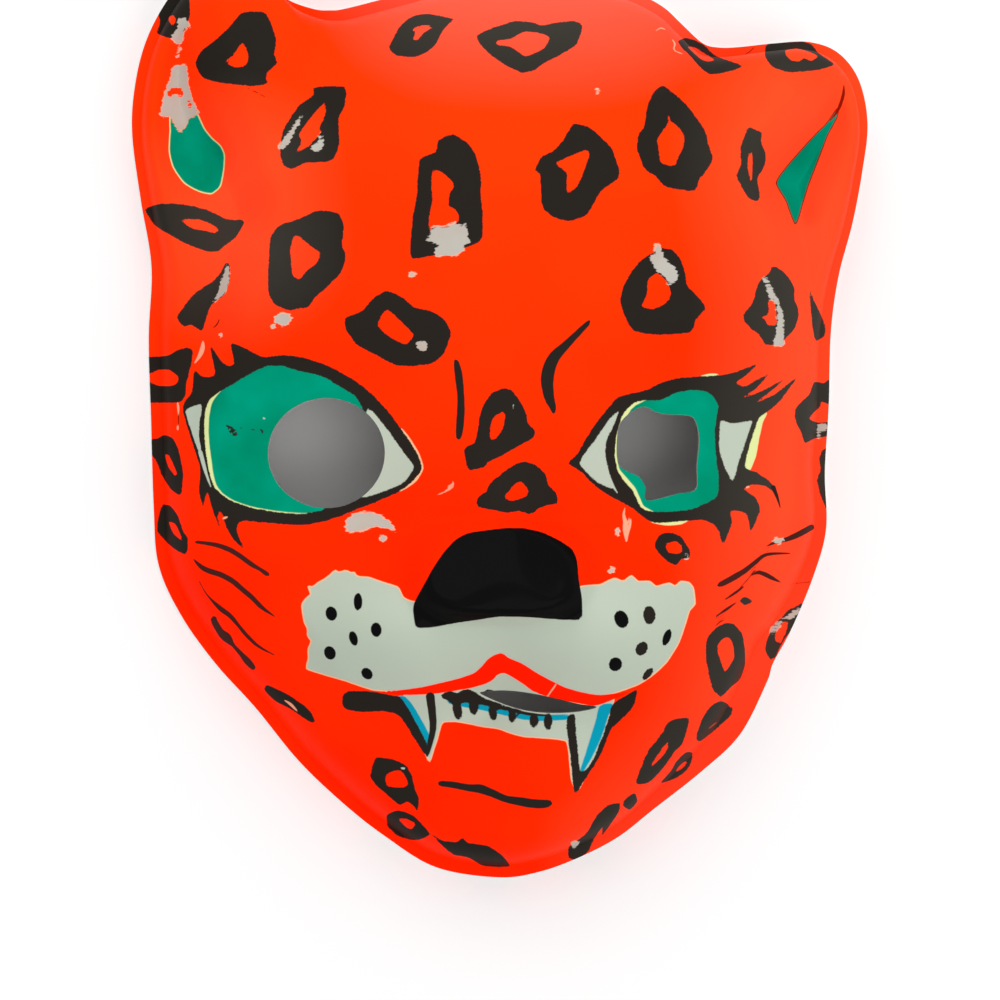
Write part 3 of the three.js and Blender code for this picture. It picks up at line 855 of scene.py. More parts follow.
RIGHT_EYE_OPEN: Outline = (
    (615.8, 443), (617.6, 430.8), (620.7, 419.8), (626, 410), (633.5, 403.4), (644.5, 400.2), (661, 400),
    (673, 394), (690, 390), (704, 391), (713, 396), (718.4, 406), (716.6, 417), (715, 427), (715, 440),
    (715.6, 452), (717, 465), (718.6, 474), (718.6, 485), (716.6, 497), (704, 504), (692, 509),
    (676, 511), (661, 512), (647, 510.4),
    (640.8, 506.7), (636, 497), (631, 488.4), (624.2, 481), (617.6, 470), (615, 455.3),
)
RIGHT_IRIS: Outline = (
    (617.6, 443), (620, 430.8), (623.2, 423.5), (628, 414.2), (633.5, 406.8), (640.8, 402.7), (650, 398),
    (661, 396), (673, 390), (690, 386), (706, 387), (716, 393), (719.6, 406), (717.8, 417), (716.2, 427),
    (716.2, 440), (716.8, 452), (718.2, 465), (720, 474), (721, 486), (720, 500), (706, 508),
    (693, 513), (676, 515), (660, 515),
    (649.4, 509.2), (643.3, 505.5), (639.6, 497), (634.7, 487.2), (627.4, 478.6), (619.3, 468.8),
    (616.8, 455.3),
)
RIGHT_EYE_RIGHT_WHITE: Outline = (
    (721, 420.5), (731.4, 423), (742.5, 422.3), (752.3, 421), (747.4, 435.7), (742.5, 450.4),
    (737.6, 465.1), (734, 479), (731, 479.6), (724.4, 466), (720, 452), (719.2, 440.6), (719.6, 430.8),
)
RIGHT_EYE_BLACK: Outline = (
    (568, 463), (577, 454), (591, 430), (603, 414), (618, 397), (633, 393), (646, 390), (658, 384),
    (673, 379), (690, 377), (722, 375), (738, 371), (757, 364), (748, 374), (736, 383), (746, 386),
    (769, 373), (757, 388), (744, 397), (762, 391), (786, 378), (770, 392), (757, 402), (775, 394),
    (797, 377), (784, 396), (774, 407), (759.6, 417.4), (756, 426), (752, 438), (747.4, 453),
    (745.4, 467.6), (756, 472), (769, 480.6), (776, 491), (776, 494), (765, 486), (751, 485),
    (744, 489), (756, 498), (760, 510), (751, 532), (747, 515), (739, 511), (730, 511), (732, 523),
    (723, 545), (719, 532), (713, 524), (702, 520), (685, 521), (655, 523), (643, 517), (632, 508),
    (606, 494), (591, 482), (580, 471),
)
EYES: tuple[Patch | Stroke, ...] = (
    Patch(Layer.UNDER, LEFT_EYE_OPEN, grown=2),
    Patch(Layer.FRINGE, ((398, 429), (406, 433), (418, 451), (423.6, 468), (415.6, 482), (398, 492),
                         (390, 478))),
    Patch(Layer.WHITE, LEFT_EYE_RIGHT_WHITE, grown=2),
    Patch(Layer.WHITE, LEFT_EYE_LEFT_WHITE, grown=1.5),
    Patch(Layer.GREEN, LEFT_IRIS),
    Patch(Layer.BLACK, LEFT_EYE_BLACK, (LEFT_EYE_OPEN, LEFT_EYE_RIGHT_WHITE, LEFT_EYE_LEFT_WHITE)),
    Patch(Layer.UNDER, RIGHT_EYE_OPEN, grown=2),
    Patch(Layer.UNDER, ((752, 414), (767, 412), (763, 422), (759.4, 437), (756, 456), (749.6, 471),
                        (742, 466))),
    Patch(Layer.UNDER, ((698, 380), (702, 375.4), (710, 373.6), (717, 374), (722, 380))),
    Patch(Layer.UNDER, ((649, 514), (652, 522.6), (668, 525.4), (684, 523.4), (694, 513))),
    Patch(Layer.WHITE, RIGHT_EYE_LEFT_WHITE, grown=1.5),
    Patch(Layer.WHITE, RIGHT_EYE_RIGHT_WHITE, grown=1.5),
    Patch(Layer.GREEN, RIGHT_IRIS),
    Patch(Layer.BLACK, RIGHT_EYE_BLACK, (RIGHT_EYE_OPEN, RIGHT_EYE_LEFT_WHITE, RIGHT_EYE_RIGHT_WHITE)),
    Stroke(Layer.WHITE, ((200, 451, 2), (203.2, 463, 1.9), (206, 473, 1.4), (209, 482, 0.9),
                         (211, 487, 0.4))),
    Stroke(Layer.WHITE, ((263.6, 418, 1.2), (264.6, 418.6, 1.2))),
    Stroke(Layer.BLACK, ((773, 487, 2.6), (776.4, 495, 1.8), (779, 503, 0.9), (780.4, 509, 0.3))),
    Stroke(Layer.WHITE, ((609, 478, 1.8), (613, 486, 1.3), (617.4, 493, 0.4))),
    scratch((223.4, 518.4, 1.2), (227, 517, 0.9)),
    scratch((746, 487.6, 1), (749, 486.6, 0.8)),
    Stroke(Layer.BLACK, ((226, 425, 0.4), (229, 427, 1.2), (233, 427.4, 0.6))),
    Stroke(Layer.BLACK, ((229, 431.4, 0.7), (233, 431, 1.4), (236, 429.6, 0.6))),
    Stroke(Layer.BLACK, ((232, 435, 0.4), (235.6, 435, 1), (238, 433.4, 0.5))),
    Stroke(Layer.BLACK, ((240, 427.4, 0.5), (242, 428.4, 0.5))),
    Stroke(Layer.BLACK, ((251, 429.4, 0.3), (255, 430, 0.5))),
    Stroke(Layer.BLACK, ((260, 429, 0.4), (262.4, 431.4, 0.9), (262, 434, 0.4))),
)
BROWS: tuple[Stroke, ...] = (
    Stroke(Layer.BLACK, ((456, 361, 2.5), (458, 371, 3.8), (459.2, 380, 4), (460.8, 396, 3.6),
                         (460.8, 412.7, 4), (459.6, 429, 3.8), (458.6, 438, 2.6))),
    Stroke(Layer.BLACK, ((589, 322, 2.5), (568, 343, 4), (553, 359, 6), (547.3, 378, 6.6), (549, 396.3, 5.2),
                         (553, 407.8, 3.2), (553.4, 412, 2.2))),
)

NOSE: tuple[Patch, ...] = (
    Patch(Layer.PITCH, (
        (415, 601), (422, 588), (433, 568), (444, 552), (455, 540), (468, 533), (487, 530), (504, 528),
        (523, 528), (542, 532), (559, 540), (572, 549), (577, 560), (579, 580), (582, 599), (582, 618),
        (575, 620), (553, 619), (523, 617), (498, 617), (477, 620), (455, 623), (435, 627), (419, 628),
        (415, 625), (413, 610),
    )),
)
MUZZLE_WHITE: Outline = (
    (308.6, 586.4), (313, 587.6), (318.6, 583), (324, 580), (330, 575.7), (335, 571), (339, 573),
    (346, 571), (352, 574), (354, 573), (357, 577), (369, 578), (380, 582), (393, 586), (398, 588),
    (403, 598), (412, 602), (424, 602), (450, 590), (570, 590), (580.8, 587), (589, 586), (600.4, 585.3),
    (608.6, 581.2), (615, 578.8), (623.3, 582), (631.4, 576.3), (638, 582), (649.4, 582), (656, 587),
    (669, 583.7), (675.5, 587), (680.4, 582), (688.6, 583), (692.7, 587.8), (694, 596), (694.6, 604),
    (689, 610), (685, 623), (678, 643), (666, 662), (652, 675), (638, 684), (619, 691), (600, 696),
    (580, 698), (560, 692), (523, 672), (503, 662), (480, 674), (444, 686), (397, 691), (372, 689),
    (345, 680), (330, 675.7), (307.4, 668.4), (309, 658.6), (308.8, 648.6), (312.2, 641.4),
    (308.2, 635.7), (308, 628.6), (304.6, 621.4), (302.4, 605.7), (305.2, 600), (311.4, 594.3),
)
MUZZLE: tuple[Patch | Stroke, ...] = (
    Patch(Layer.FRINGE, MUZZLE_WHITE, grown=1.2, roundness=0.2),
    Patch(Layer.WHITE, MUZZLE_WHITE, roundness=0.2),
    Patch(Layer.LIP, (
        (376, 692), (400, 690), (422, 687), (444, 682), (460, 678), (474, 673), (482, 666), (487, 660),
        (494, 655), (502, 653), (509, 658), (523, 664), (537, 673), (550, 680), (564, 687), (581, 692),
        (600, 695), (630, 692), (619, 697), (605, 703), (594, 706), (581, 704), (561, 700), (545, 696),
        (534, 692), (523, 684), (512, 677), (504, 673), (497, 675), (493, 680), (485, 684), (471, 688),
        (454, 691), (433, 694), (411, 695), (390, 694),
    )),
    scratch((557, 683, 0.7), (552, 690, 0.8), (547, 697, 0.7)),
)
DOTS: tuple[Patch, ...] = (
    dot(358, 601.7, 4.4, 9, 0, Layer.PITCH), dot(331.3, 613.6, 5.8, 7.4, -12, Layer.PITCH),
    dot(376.2, 629.7, 5.5, 7.4, -6, Layer.PITCH), dot(353.4, 638.4, 4.2, 7.8, -16, Layer.PITCH),
    dot(329.9, 652.9, 5.8, 7, -25, Layer.PITCH), dot(367, 673.6, 5.2, 6.5, -45, Layer.PITCH),
    dot(621.3, 619.2, 7, 9.3, -25, Layer.PITCH), dot(649.3, 615, 6.4, 9.4, -4), dot(641.8, 648.7, 6, 7.5, 30),
    dot(666.9, 637.4, 4, 8.9, 20, Layer.PITCH), dot(615.4, 664.3, 6.9, 7.1, 0, Layer.PITCH),
    dot(647.8, 673.9, 3.6, 7.5, 40),
)
MOUTH_WHITE: Outline = (
    (404, 695), (425, 695), (442, 693), (466, 689), (480, 686), (491, 680), (503, 673), (516, 679),
    (532, 690), (545, 696), (559, 700), (576, 704), (594, 706), (606, 702), (614, 698), (609, 715),
    (602, 740), (590, 765), (578, 790), (572, 780), (570, 760), (567, 741), (551, 738), (537, 737),
    (523, 736), (509, 732), (498, 728), (482, 726), (468, 723), (455, 721), (442, 722), (437.4, 737),
    (432.8, 751), (429.4, 761), (425, 752), (412, 730),
)
MOUTH: tuple[Patch | Stroke, ...] = (
    Patch(Layer.FRINGE, MOUTH_WHITE, grown=1),
    Patch(Layer.WHITE, MOUTH_WHITE),
    Stroke(Layer.BLUE, ((450, 701, 2.8), (465, 704.2, 3.1), (483, 707.2, 3.2), (502, 711.6, 3.2),
                        (523, 716.4, 3.1), (542, 717.8, 3.1), (568, 717, 2.7))),
    Patch(Layer.BLUE, ((397, 698), (404, 697), (411, 704), (419, 717), (429, 736), (427, 746), (417, 734),
                       (407, 717)), grown=0.8),
    Patch(Layer.BLUE, ((600, 705), (596, 719), (590, 739), (585, 755), (580, 771), (583, 772), (590, 761),
                       (597, 747), (603, 733), (608, 717), (613, 704))),
    Patch(Layer.BLACK, ((440, 697), (445, 692.4), (451, 691.2), (457, 693), (462, 690), (469, 689.2),
                        (475, 692), (479, 695), (487, 699), (498, 703), (509, 706.6), (519, 710),
                        (524, 713), (518, 714), (508, 711), (496, 709), (484, 705), (476, 704),
                        (465, 702.6), (454, 705), (448, 701)), roundness=0.2),
    dot(489, 691.4, 4.6, 1.8),
    Stroke(Layer.BLACK, ((514, 710, 2.2), (524, 713, 1.7), (537, 714.8, 1.4), (550, 715.4, 0.6))),
    Patch(Layer.BLACK, ((342, 701), (343, 695), (349, 691), (361, 691), (375, 692), (389, 695), (400, 697),
                        (408, 708), (419, 728), (428, 745), (427, 757), (421, 749), (411, 733), (402, 719),
                        (396, 714), (383, 711), (364, 712), (348, 710), (343, 706))),
    Stroke(Layer.BLACK, ((430, 695, 4.5), (432, 711, 4), (433, 728, 3.4), (429, 747, 2.6), (427, 756, 1.2))),
    Patch(Layer.BLACK, ((567, 715), (575, 715), (576, 733), (578, 752), (580, 771), (586, 770), (594, 758),
                        (598, 747), (603, 736), (605, 728), (609, 717), (611, 707), (616, 701), (627, 695),
                        (637, 689), (635, 703), (630, 711), (622, 719), (612, 728), (607, 739), (603, 750),
                        (596, 763), (586, 778), (575, 795), (572, 774), (570, 752), (567, 733)),
          roundness=0.25),
)
TEETH: tuple[Patch, ...] = (
    dot(457.4, 709.8, 4.7, 10.2, -8), dot(473.4, 705.8, 4.9, 9.3, -8), dot(492.8, 712.6, 4.3, 8.2, -8),
    dot(512, 716.4, 4.1, 6.2), dot(534, 720.4, 4.5, 7.6), dot(548.2, 721.6, 4.4, 8.7),
)
CHIN: tuple[Stroke, ...] = (
    Stroke(Layer.BLACK, ((440, 783.4, 2.8), (454, 785, 3.4), (468.6, 787.8, 3.6), (479.6, 788.7, 4.6),
                         (492.5, 793.3, 4), (505.3, 798.8, 3.6), (520, 801.5, 4.4), (532, 803.4, 4.6),
                         (543, 804, 4.4), (550, 803, 3.4))),
)
WHISKERS: tuple[Patch | Stroke, ...] = (
    whisker((196, 542, 1.5), (213, 544.3, 2.2), (227, 548.6, 2.6), (238.6, 555, 2.6),
            (251.4, 564.3, 2.5), (260, 569.3, 2), (266, 573.4, 2.3), (269, 575.4, 0.8)),
    whisker((193.6, 559.3, 0.7), (201.4, 567, 2.3), (208.6, 570.7, 2.7), (221.4, 575, 2.8),
            (233, 581.4, 2.8), (241.4, 588.6, 2.7), (251.4, 597, 2.5), (261.4, 607, 2.2),
            (275, 616.8, 0.5)),
    whisker((199.3, 581.4, 0.4), (205.7, 593, 0.6), (213, 601.4, 1.4), (221.4, 609.3, 2.5),
            (230, 615.7, 2.3), (238.6, 625.7, 1.8), (247, 635.7, 1.9), (258.6, 646.4, 1.5),
            (275, 655.4, 0.5)),
    whisker((214, 617.6, 2.4), (214.6, 622, 3.2), (221, 632.6, 3.6), (226.6, 637.6, 4.6),
            (233, 645, 1.9), (241.4, 654.3, 2.4), (247.6, 661.4, 3.4), (253.6, 668, 2.6)),
    whisker((812.6, 526.6, 2.8), (803, 532, 3), (795, 536, 2.8), (786, 539.6, 2.3), (776, 542, 1.6),
            (766, 546.6, 0.5)),
    whisker((791.4, 553.4, 0.5), (775, 553.6, 1.4), (764, 555.4, 1.8), (756.6, 561.3, 2.2),
            (746.3, 569.6, 2.6), (737.3, 575.4, 3), (725.7, 581.9, 3), (719, 585, 2.6)),
    whisker((781.4, 582.6, 0.4), (772, 578, 2), (764.3, 574, 2.3), (757.8, 572.4, 1.8), (752, 575, 0.6)),
    whisker((744, 586.6, 0.5), (735, 593, 1.4), (724.4, 600, 0.5)),
    Patch(Layer.BLACK, ((739.4, 601), (744.3, 596.4), (753, 600.9), (745.4, 605.2))),
    whisker((736.4, 602.4, 0.5), (727, 609, 1.4), (715.4, 616.8, 0.6)),
    Stroke(Layer.BROWN, ((724.4, 619.8, 0.5), (719, 622.6, 0.6), (715, 626.8, 0.5))),
    Stroke(Layer.BROWN, ((755, 569, 0.4), (748, 579, 0.5), (738, 590, 0.4))),
    Stroke(Layer.BROWN, ((789, 584, 0.3), (800, 583, 0.4), (812, 581.6, 0.3))),
)
LEFT_EAR_GREEN: Outline = (
    (171, 113.6), (184, 112.6), (196, 112.4), (198.4, 117.3), (203.5, 128.6), (211.6, 138.8), (219.8, 146),
    (223.9, 155), (222.9, 171.4), (219.8, 185.7), (211.6, 193), (199.4, 190.8), (185, 182.7),
    (173.9, 167.3), (169.8, 151), (170.8, 130.6),
)
RIGHT_EAR_GREEN: Outline = (
    (837.4, 109), (827.4, 123.3), (813.7, 137), (791.8, 161.6), (776.7, 182.2), (786.3, 200),
    (795.4, 223.4), (801.4, 205.5), (808.2, 183.6), (817.8, 159), (827.4, 134.2), (836.2, 117.8),
)
EARS: tuple[Patch | Stroke, ...] = (
    Patch(Layer.UNDER, LEFT_EAR_GREEN, grown=1.2),
    Patch(Layer.GREEN, LEFT_EAR_GREEN),
    # Partly painted shadow: the dark brown edge round the right ear's green stands for the shadow in the fold
    # there, over some dark under-paint.
    Patch(Layer.BROWN, RIGHT_EAR_GREEN, grown=1.1),
    Patch(Layer.GREEN, RIGHT_EAR_GREEN),
    # Partly painted shadow: this brown tail stands for the shadowed crease above the right ear's green, over
    # some dark under-paint.
    Stroke(Layer.BROWN, ((844, 85, 0.5), (843, 96, 1.6), (838, 110, 1.4), (830, 121, 0.6))),
)
PEELED: tuple[Patch | Stroke, ...] = (
    chip((177, 19.4), (185, 17.3), (191, 27.6), (183.5, 28.6), (183.5, 39.8), (178, 45), (170.8, 36.7),
         (178, 28.6)),
    fleck(179.4, 50, 1.6, 2.2), fleck(177.4, 56, 1.2, 1.6),
    Patch(Layer.BARE, ((172.9, 67.3), (186, 65.3), (188, 81.6), (191, 96), (196.3, 108), (199.4, 113.3),
                       (191, 117.3), (186, 123), (181, 131.6), (174.4, 124.5), (170.8, 116.3), (160.6, 115.6),
                       (163.4, 100), (165.7, 89.8), (170.8, 77.6)),
          (((165.7, 95), (170.8, 88.6), (181, 88.4), (184, 94), (181, 97.6), (173.9, 93.6), (169, 97)),
           ((187, 102), (190.4, 101), (191.6, 107), (188.4, 108)))),
    chip((300.6, 114.6), (302.4, 117), (295.7, 130), (287, 147), (281.8, 150.8), (278.4, 147.6),
         (283, 138.6), (294.4, 125)),
    chip((321.4, 132), (323.4, 145), (317, 152.8), (308.6, 147.4), (318, 143)),
    chip((425.3, 237.3), (429, 236.7), (432.6, 227.5), (446, 227), (451, 224.5), (455.9, 223.2),
         (460.8, 225.7), (467, 228), (468, 236.7), (470.6, 244), (464.5, 244), (464.5, 249), (455.9, 255),
         (448.5, 255.7), (436.3, 255.7), (434.5, 249), (440, 244), (429, 242.2)),
    fleck(467, 224, 1.6, 1.4),
    chip((418, 341), (427, 342), (425, 351), (417, 349)),
    chip((655, 243), (660, 246), (662, 253), (667, 260), (676, 269), (679, 276), (676, 282), (669, 284),
         (665, 278), (657, 271), (653, 264), (649, 257), (655, 253)),
    chip((763, 279), (765.5, 277.5), (770.4, 284), (775.3, 295), (779, 302.2), (783.3, 314.5),
         (783.6, 328), (784, 340.2), (782.7, 346.3), (773, 345), (775.3, 335.3), (777.4, 324.3),
         (777.4, 313.3), (775.3, 303.5), (768, 296), (766.7, 287.6)),
    chip((226.8, 263.4), (229.4, 268), (228.6, 282.7), (224.4, 293.7), (213.4, 302.6), (214.3, 299.2),
         (219, 290), (220.7, 280.8), (224.4, 273.5), (225.7, 267)),
    chip((346, 530), (347, 521), (354, 514), (367, 512), (375, 514), (389, 521), (396, 531), (386, 528),
         (376, 526), (366, 529.4), (355, 532)),
    fleck(383, 538, 3.6, 3.2), fleck(282.8, 319, 8.2, 6.2),
    fleck(273.2, 326.6, 1.8, 1.8), fleck(412, 274.6, 3.2, 2.8),
    fleck(611.3, 570, 3.6, 2.8), fleck(597, 91, 2, 2),
    fleck(685, 551.6, 1.6, 1.4), fleck(686.4, 556.6, 2, 2.6),
    fleck(617.6, 532, 2, 3.8), fleck(220.7, 335, 1.4, 1.8),
    chip((817.6, 425), (826.6, 424), (828.4, 430), (821, 431.6), (819, 437), (817, 436)),
    chip((772, 541.4), (777, 538.2), (784.6, 538.8), (783, 541.8), (778, 543.8)),
    chip((768.6, 636.6), (771, 629), (777, 623), (783, 619), (780, 626), (775.4, 631)),
    chip((784, 618.6), (790, 613.6), (800, 606.6), (800.4, 611), (795, 617), (788.6, 619)),
    chip((571, 842), (579.4, 841.4), (578, 845), (573, 848.6)),
)
SCRATCHES: tuple[Stroke, ...] = (
    scratch((203, 341.6, 0.8), (202.6, 348, 2.2), (199.6, 356, 1.8), (194.6, 363, 0.5)),
    scratch((177.6, 403, 0.8), (178.2, 408, 1.1), (178.4, 414, 0.5)),
    Stroke(Layer.BROWN, ((178.4, 414, 0.6), (178.4, 424, 0.5))),
    scratch((177.8, 425.6, 0.8), (177.6, 429.6, 1)),
    Stroke(Layer.BROWN, ((219.6, 318, 0.4), (217.4, 324, 0.7), (213, 328, 0.4))),
    scratch((624.8, 508.4, 0.8), (623.6, 515, 1.2), (625.6, 523, 2.2), (624.6, 530, 1.8),
            (626.6, 542, 0.7)),
    scratch((630.8, 518, 0.6), (629.6, 526, 1.4), (627.6, 534, 1), (626.8, 541, 0.5)),
    scratch((452.6, 480.6, 0.4), (453, 486, 1), (446.6, 491, 0.6), (437, 495, 0.4)),
    scratch((448, 484, 0.4), (451, 488, 0.7), (447, 489.4, 0.4)),
    Stroke(Layer.WHITE, ((513.6, 404.4, 0.6), (513.2, 408, 1))),
    Stroke(Layer.WHITE, ((400.8, 767.6, 0.5), (403.4, 768.8, 0.9), (405.2, 768, 0.5))),
    Stroke(Layer.BROWN, ((708, 729.4, 0.4), (712, 726, 0.8), (717.6, 721.4, 0.5)), 0.15),
    Stroke(Layer.BROWN, ((247.5, 88.2, 0.3), (257, 92.6, 0.5), (267, 98, 0.3))),
    Stroke(Layer.BROWN, ((744.6, 55, 0.3), (750, 51.4, 0.6), (754.7, 46.8, 0.3))),
    scratch((656, 30.6, 0.3), (661, 28, 0.6), (666, 30, 0.3)),
    scratch((672, 39, 0.4), (675, 44, 0.8), (674, 50, 0.5), (683, 54, 0.3)),
    scratch((284.6, 700.4, 0.4), (290, 703.8, 1.3), (295, 708.8, 1), (297.4, 711.4, 0.4)),
)

# Painted sheen: soft paler areas on the right flank, the left temple and the forehead's top, standing in for
# soft light reflected there.
PAINTED_SHEEN: tuple[Patch, ...] = (
    Patch(Layer.PAINTED_TOP_SHEEN, ((360, -60), (380, 20), (430, 50), (520, 58), (600, 56), (650, 44), (690, 20),
                       (690, -60))),
    Patch(Layer.PAINTED_SHEEN, ((720, 150), (760, 60), (860, 60), (880, 250), (850, 420), (840, 560), (800, 680),
                       (700, 800), (600, 860), (590, 840), (680, 730), (720, 600), (730, 450), (745, 300))),
    Patch(Layer.PAINTED_SHEEN, ((180, 220), (185, 160), (230, 120), (290, 150), (300, 260), (250, 300), (200, 290))),
)


@dataclass(frozen=True)
class PaintScheme:
    """Everything painted on the mask, as distances to the paints' edges in picture pixels."""

    paint_reach: float = 14.0
    # The painted sheen's distances reach further, for its very soft edge.
    painted_sheen_reach: float = 60.0
    marks: tuple[Patch | Stroke, ...] = (
        SPOTS + BEYOND_THE_PICTURE + EYES + BROWS + NOSE + MUZZLE + DOTS + MOUTH + TEETH
        + CHIN + WHISKERS + EARS + PEELED + SCRATCHES + PAINTED_SHEEN
    )

    def reach(self, layer: Layer) -> float:
        """How far from its edge a paint's distance is worked out."""
        return self.painted_sheen_reach if layer in (Layer.PAINTED_SHEEN, Layer.PAINTED_TOP_SHEEN) else self.paint_reach

    def near(self, mark: Patch | Stroke, places: np.ndarray) -> np.ndarray:
        """Numbers of the places within a mark's reach."""
        low, high = mark.box()
        reach = self.reach(mark.layer)
        return np.flatnonzero(np.all((places > low - reach) & (places < high + reach), axis=1))

    def areas(self, places: np.ndarray) -> dict[str, np.ndarray]:
        """Signed distance of every place to each paint's areas, and to the gaps in them.

        Args:
            places: Picture coordinates, one a row.

        Returns:
            By name, distances that are negative inside and no more than the paint's reach.
        """
        result = {layer.value: np.full(len(places), self.reach(layer)) for layer in Layer}
        result |= {gap_name(layer): np.full(len(places), self.paint_reach) for layer in GAPPED}
        for mark in self.marks:
            if isinstance(mark, Stroke) and mark.layer in LINE_TONES:
                continue
            near = self.near(mark, places)
            found = result[mark.layer.value]
            found[near] = np.minimum(found[near], mark.distance(places[near]))
            if isinstance(mark, Patch) and mark.gaps:
                gaps = result[gap_name(mark.layer)]
                gaps[near] = np.minimum(gaps[near], mark.gap_distance(places[near]))
        return {name: np.maximum(found, -self.painted_sheen_reach) for name, found in result.items()}

    def lines(self, places: np.ndarray) -> dict[str, np.ndarray]:
        """How every place lies beside the brush line that is nearest to it.

        Args:
            places: Picture coordinates, one a row.

        Returns:
            By name, the way to its left or right, its half-width, its distance and its tone.
        """
        found = np.full((4, len(places)), self.paint_reach)
        found[1] = 0
        tone = np.zeros(len(places))
        for mark in self.marks:
            if isinstance(mark, Patch) or mark.layer not in LINE_TONES:
                continue
            near = self.near(mark, places)
            beside = mark.beside(places[near])
            nearer = beside[3] < found[3, near]
            found[:, near[nearer]] = beside[:, nearer]
            tone[near[nearer]] = LINE_TONES[mark.layer] + mark.thinness
        return {"line_side": found[0], "line_half": found[1], "line_near": found[2], "line_tone": tone}


class Signal:
    """A value in a material's node tree; arithmetic on it adds Math nodes."""

    def __init__(self, bench: "NodeBench", socket: bpy.types.NodeSocket) -> None:
        """Wraps an output socket.

        Args:
            bench: The bench whose tree the socket is in.
            socket: The output that carries the value.
        """
        self.bench = bench
        self.socket = socket

    def math(self, operation: str, first: Any, second: Any) -> "Signal":
        """One Math node.

        Args:
            operation: The node's operation.
            first: A number or a signal.
            second: A number or a signal.

        Returns:
            The node's value.
        """
        node = self.bench.node("ShaderNodeMath", {"operation": operation}, {0: first, 1: second})
        return Signal(self.bench, node.outputs[0])

    def __add__(self, other: Any) -> "Signal":
        """Sum."""
        return self.math("ADD", self, other)

    def __radd__(self, other: Any) -> "Signal":
        """Sum with a number in front."""
        return self.math("ADD", other, self)

    def __sub__(self, other: Any) -> "Signal":
        """Difference."""
        return self.math("SUBTRACT", self, other)

    def __rsub__(self, other: Any) -> "Signal":
        """Difference from a number."""
        return self.math("SUBTRACT", other, self)

    def __mul__(self, other: Any) -> "Signal":
        """Product."""
        return self.math("MULTIPLY", self, other)

    def __rmul__(self, other: Any) -> "Signal":
        """Product with a number in front."""
        return self.math("MULTIPLY", other, self)

    def __abs__(self) -> "Signal":
        """Size without the sign."""
        return self.math("ABSOLUTE", self, 0.0)

    def bounded(self) -> "Signal":
        """The value held between 0 and 1."""
        node = self.bench.node("ShaderNodeClamp", {}, {"Value": self})
        return Signal(self.bench, node.outputs[0])


@dataclass(frozen=True)
class Grain:
    """Soft noise: lumps in a metre, how much finer noise lies over them, and their narrowing by axis."""

    scale: float
    detail: float = 2.0
    narrow: Point3 = (1.0, 1.0, 1.0)


class NodeBench:
    """Builds one material's node tree."""

    def __init__(self, name: str) -> None:
        """Makes an empty material with an output.

        Args:
            name: The material's name.
        """
        self.material = bpy.data.materials.new(name)
        self.material.use_nodes = True
        self.tree = self.material.node_tree
        self.tree.nodes.clear()
        self.output = self.tree.nodes.new("ShaderNodeOutputMaterial")
        self.place = Signal(self, self.node("ShaderNodeTexCoord", {}, {}).outputs["Object"])

    def node(self, kind: str, settings: dict[str, Any], inputs: dict[Any, Any]) -> bpy.types.Node:
        """Adds a node.

        Args:
            kind: The node's type.
            settings: Its settings, set first.
            inputs: Values or signals for its sockets.

        Returns:
            The node.
        """
        added = self.tree.nodes.new(kind)
        for name, value in settings.items():
            setattr(added, name, value)
        for name, value in inputs.items():
            if isinstance(value, Signal):
                self.tree.links.new(value.socket, added.inputs[name])
            else:
                added.inputs[name].default_value = value
        return added

    def noise(self, grain: Grain) -> Signal:
        """Soft noise over the piece.

        Args:
            grain: The noise's size and shape.

        Returns:
            Values about 0.5.
        """
        stretched = {0: self.place, 1: grain.narrow}
        spread = self.node("ShaderNodeVectorMath", {"operation": "MULTIPLY"}, stretched)
        inputs = {"Vector": Signal(self, spread.outputs[0]), "Scale": grain.scale, "Detail": grain.detail}
        return Signal(self, self.node("ShaderNodeTexNoise", {}, inputs).outputs["Fac"])

    def attribute(self, name: str) -> Signal:
        """A number that the mesh carries."""
        return Signal(self, self.node("ShaderNodeAttribute", {"attribute_name": name}, {}).outputs["Fac"])

    def blend(self, share: Any, under: Any, over: Any) -> Signal:
        """One colour over another.

        Args:
            share: How much of the upper colour shows.
            under: The lower colour.
            over: The upper colour.

        Returns:
            The mixed colour.
        """
        inputs = {"Factor": share, 6: under, 7: over}
        return Signal(self, self.node("ShaderNodeMix", {"data_type": "RGBA"}, inputs).outputs[2])

    def part(self, axis: str) -> Signal:
        """One of the three coordinates of the place on the piece, in metres."""
        node = self.node("ShaderNodeSeparateXYZ", {}, {0: self.place})
        return Signal(self, node.outputs[axis])

    def bump(self, height: Signal, strength: float, distance: float) -> Signal:
        """A bumped normal.

        Args:
            height: The bumps.
            strength: How much of them shows.
            distance: Their height in metres.

        Returns:
            The normal.
        """
        inputs = {"Height": height, "Strength": strength, "Distance": distance}
        return Signal(self, self.node("ShaderNodeBump", {}, inputs).outputs[0])

    def finish(self, inputs: dict[str, Any]) -> bpy.types.Material:
        """Ends the tree with the plastic's shader.

        Args:
            inputs: Values or signals for the shader's sockets.

        Returns:
            The material.
        """
        shader = self.node("ShaderNodeBsdfPrincipled", {}, inputs)
        self.tree.links.new(shader.outputs[0], self.output.inputs["Surface"])
        return self.material


def colour(red: int, green: int, blue: int) -> Colour:
    """A colour for a shader from screen values.

    Args:
        red: Red, 0 to 255.
        green: Green, 0 to 255.
        blue: Blue, 0 to 255.

    Returns:
        The colour in linear light.
    """
    shares = [value / 255 for value in (red, green, blue)]
    linear = [s / 12.92 if s <= 0.04045 else ((s + 0.055) / 1.055) ** 2.4 for s in shares]
    return (linear[0], linear[1], linear[2], 1.0)


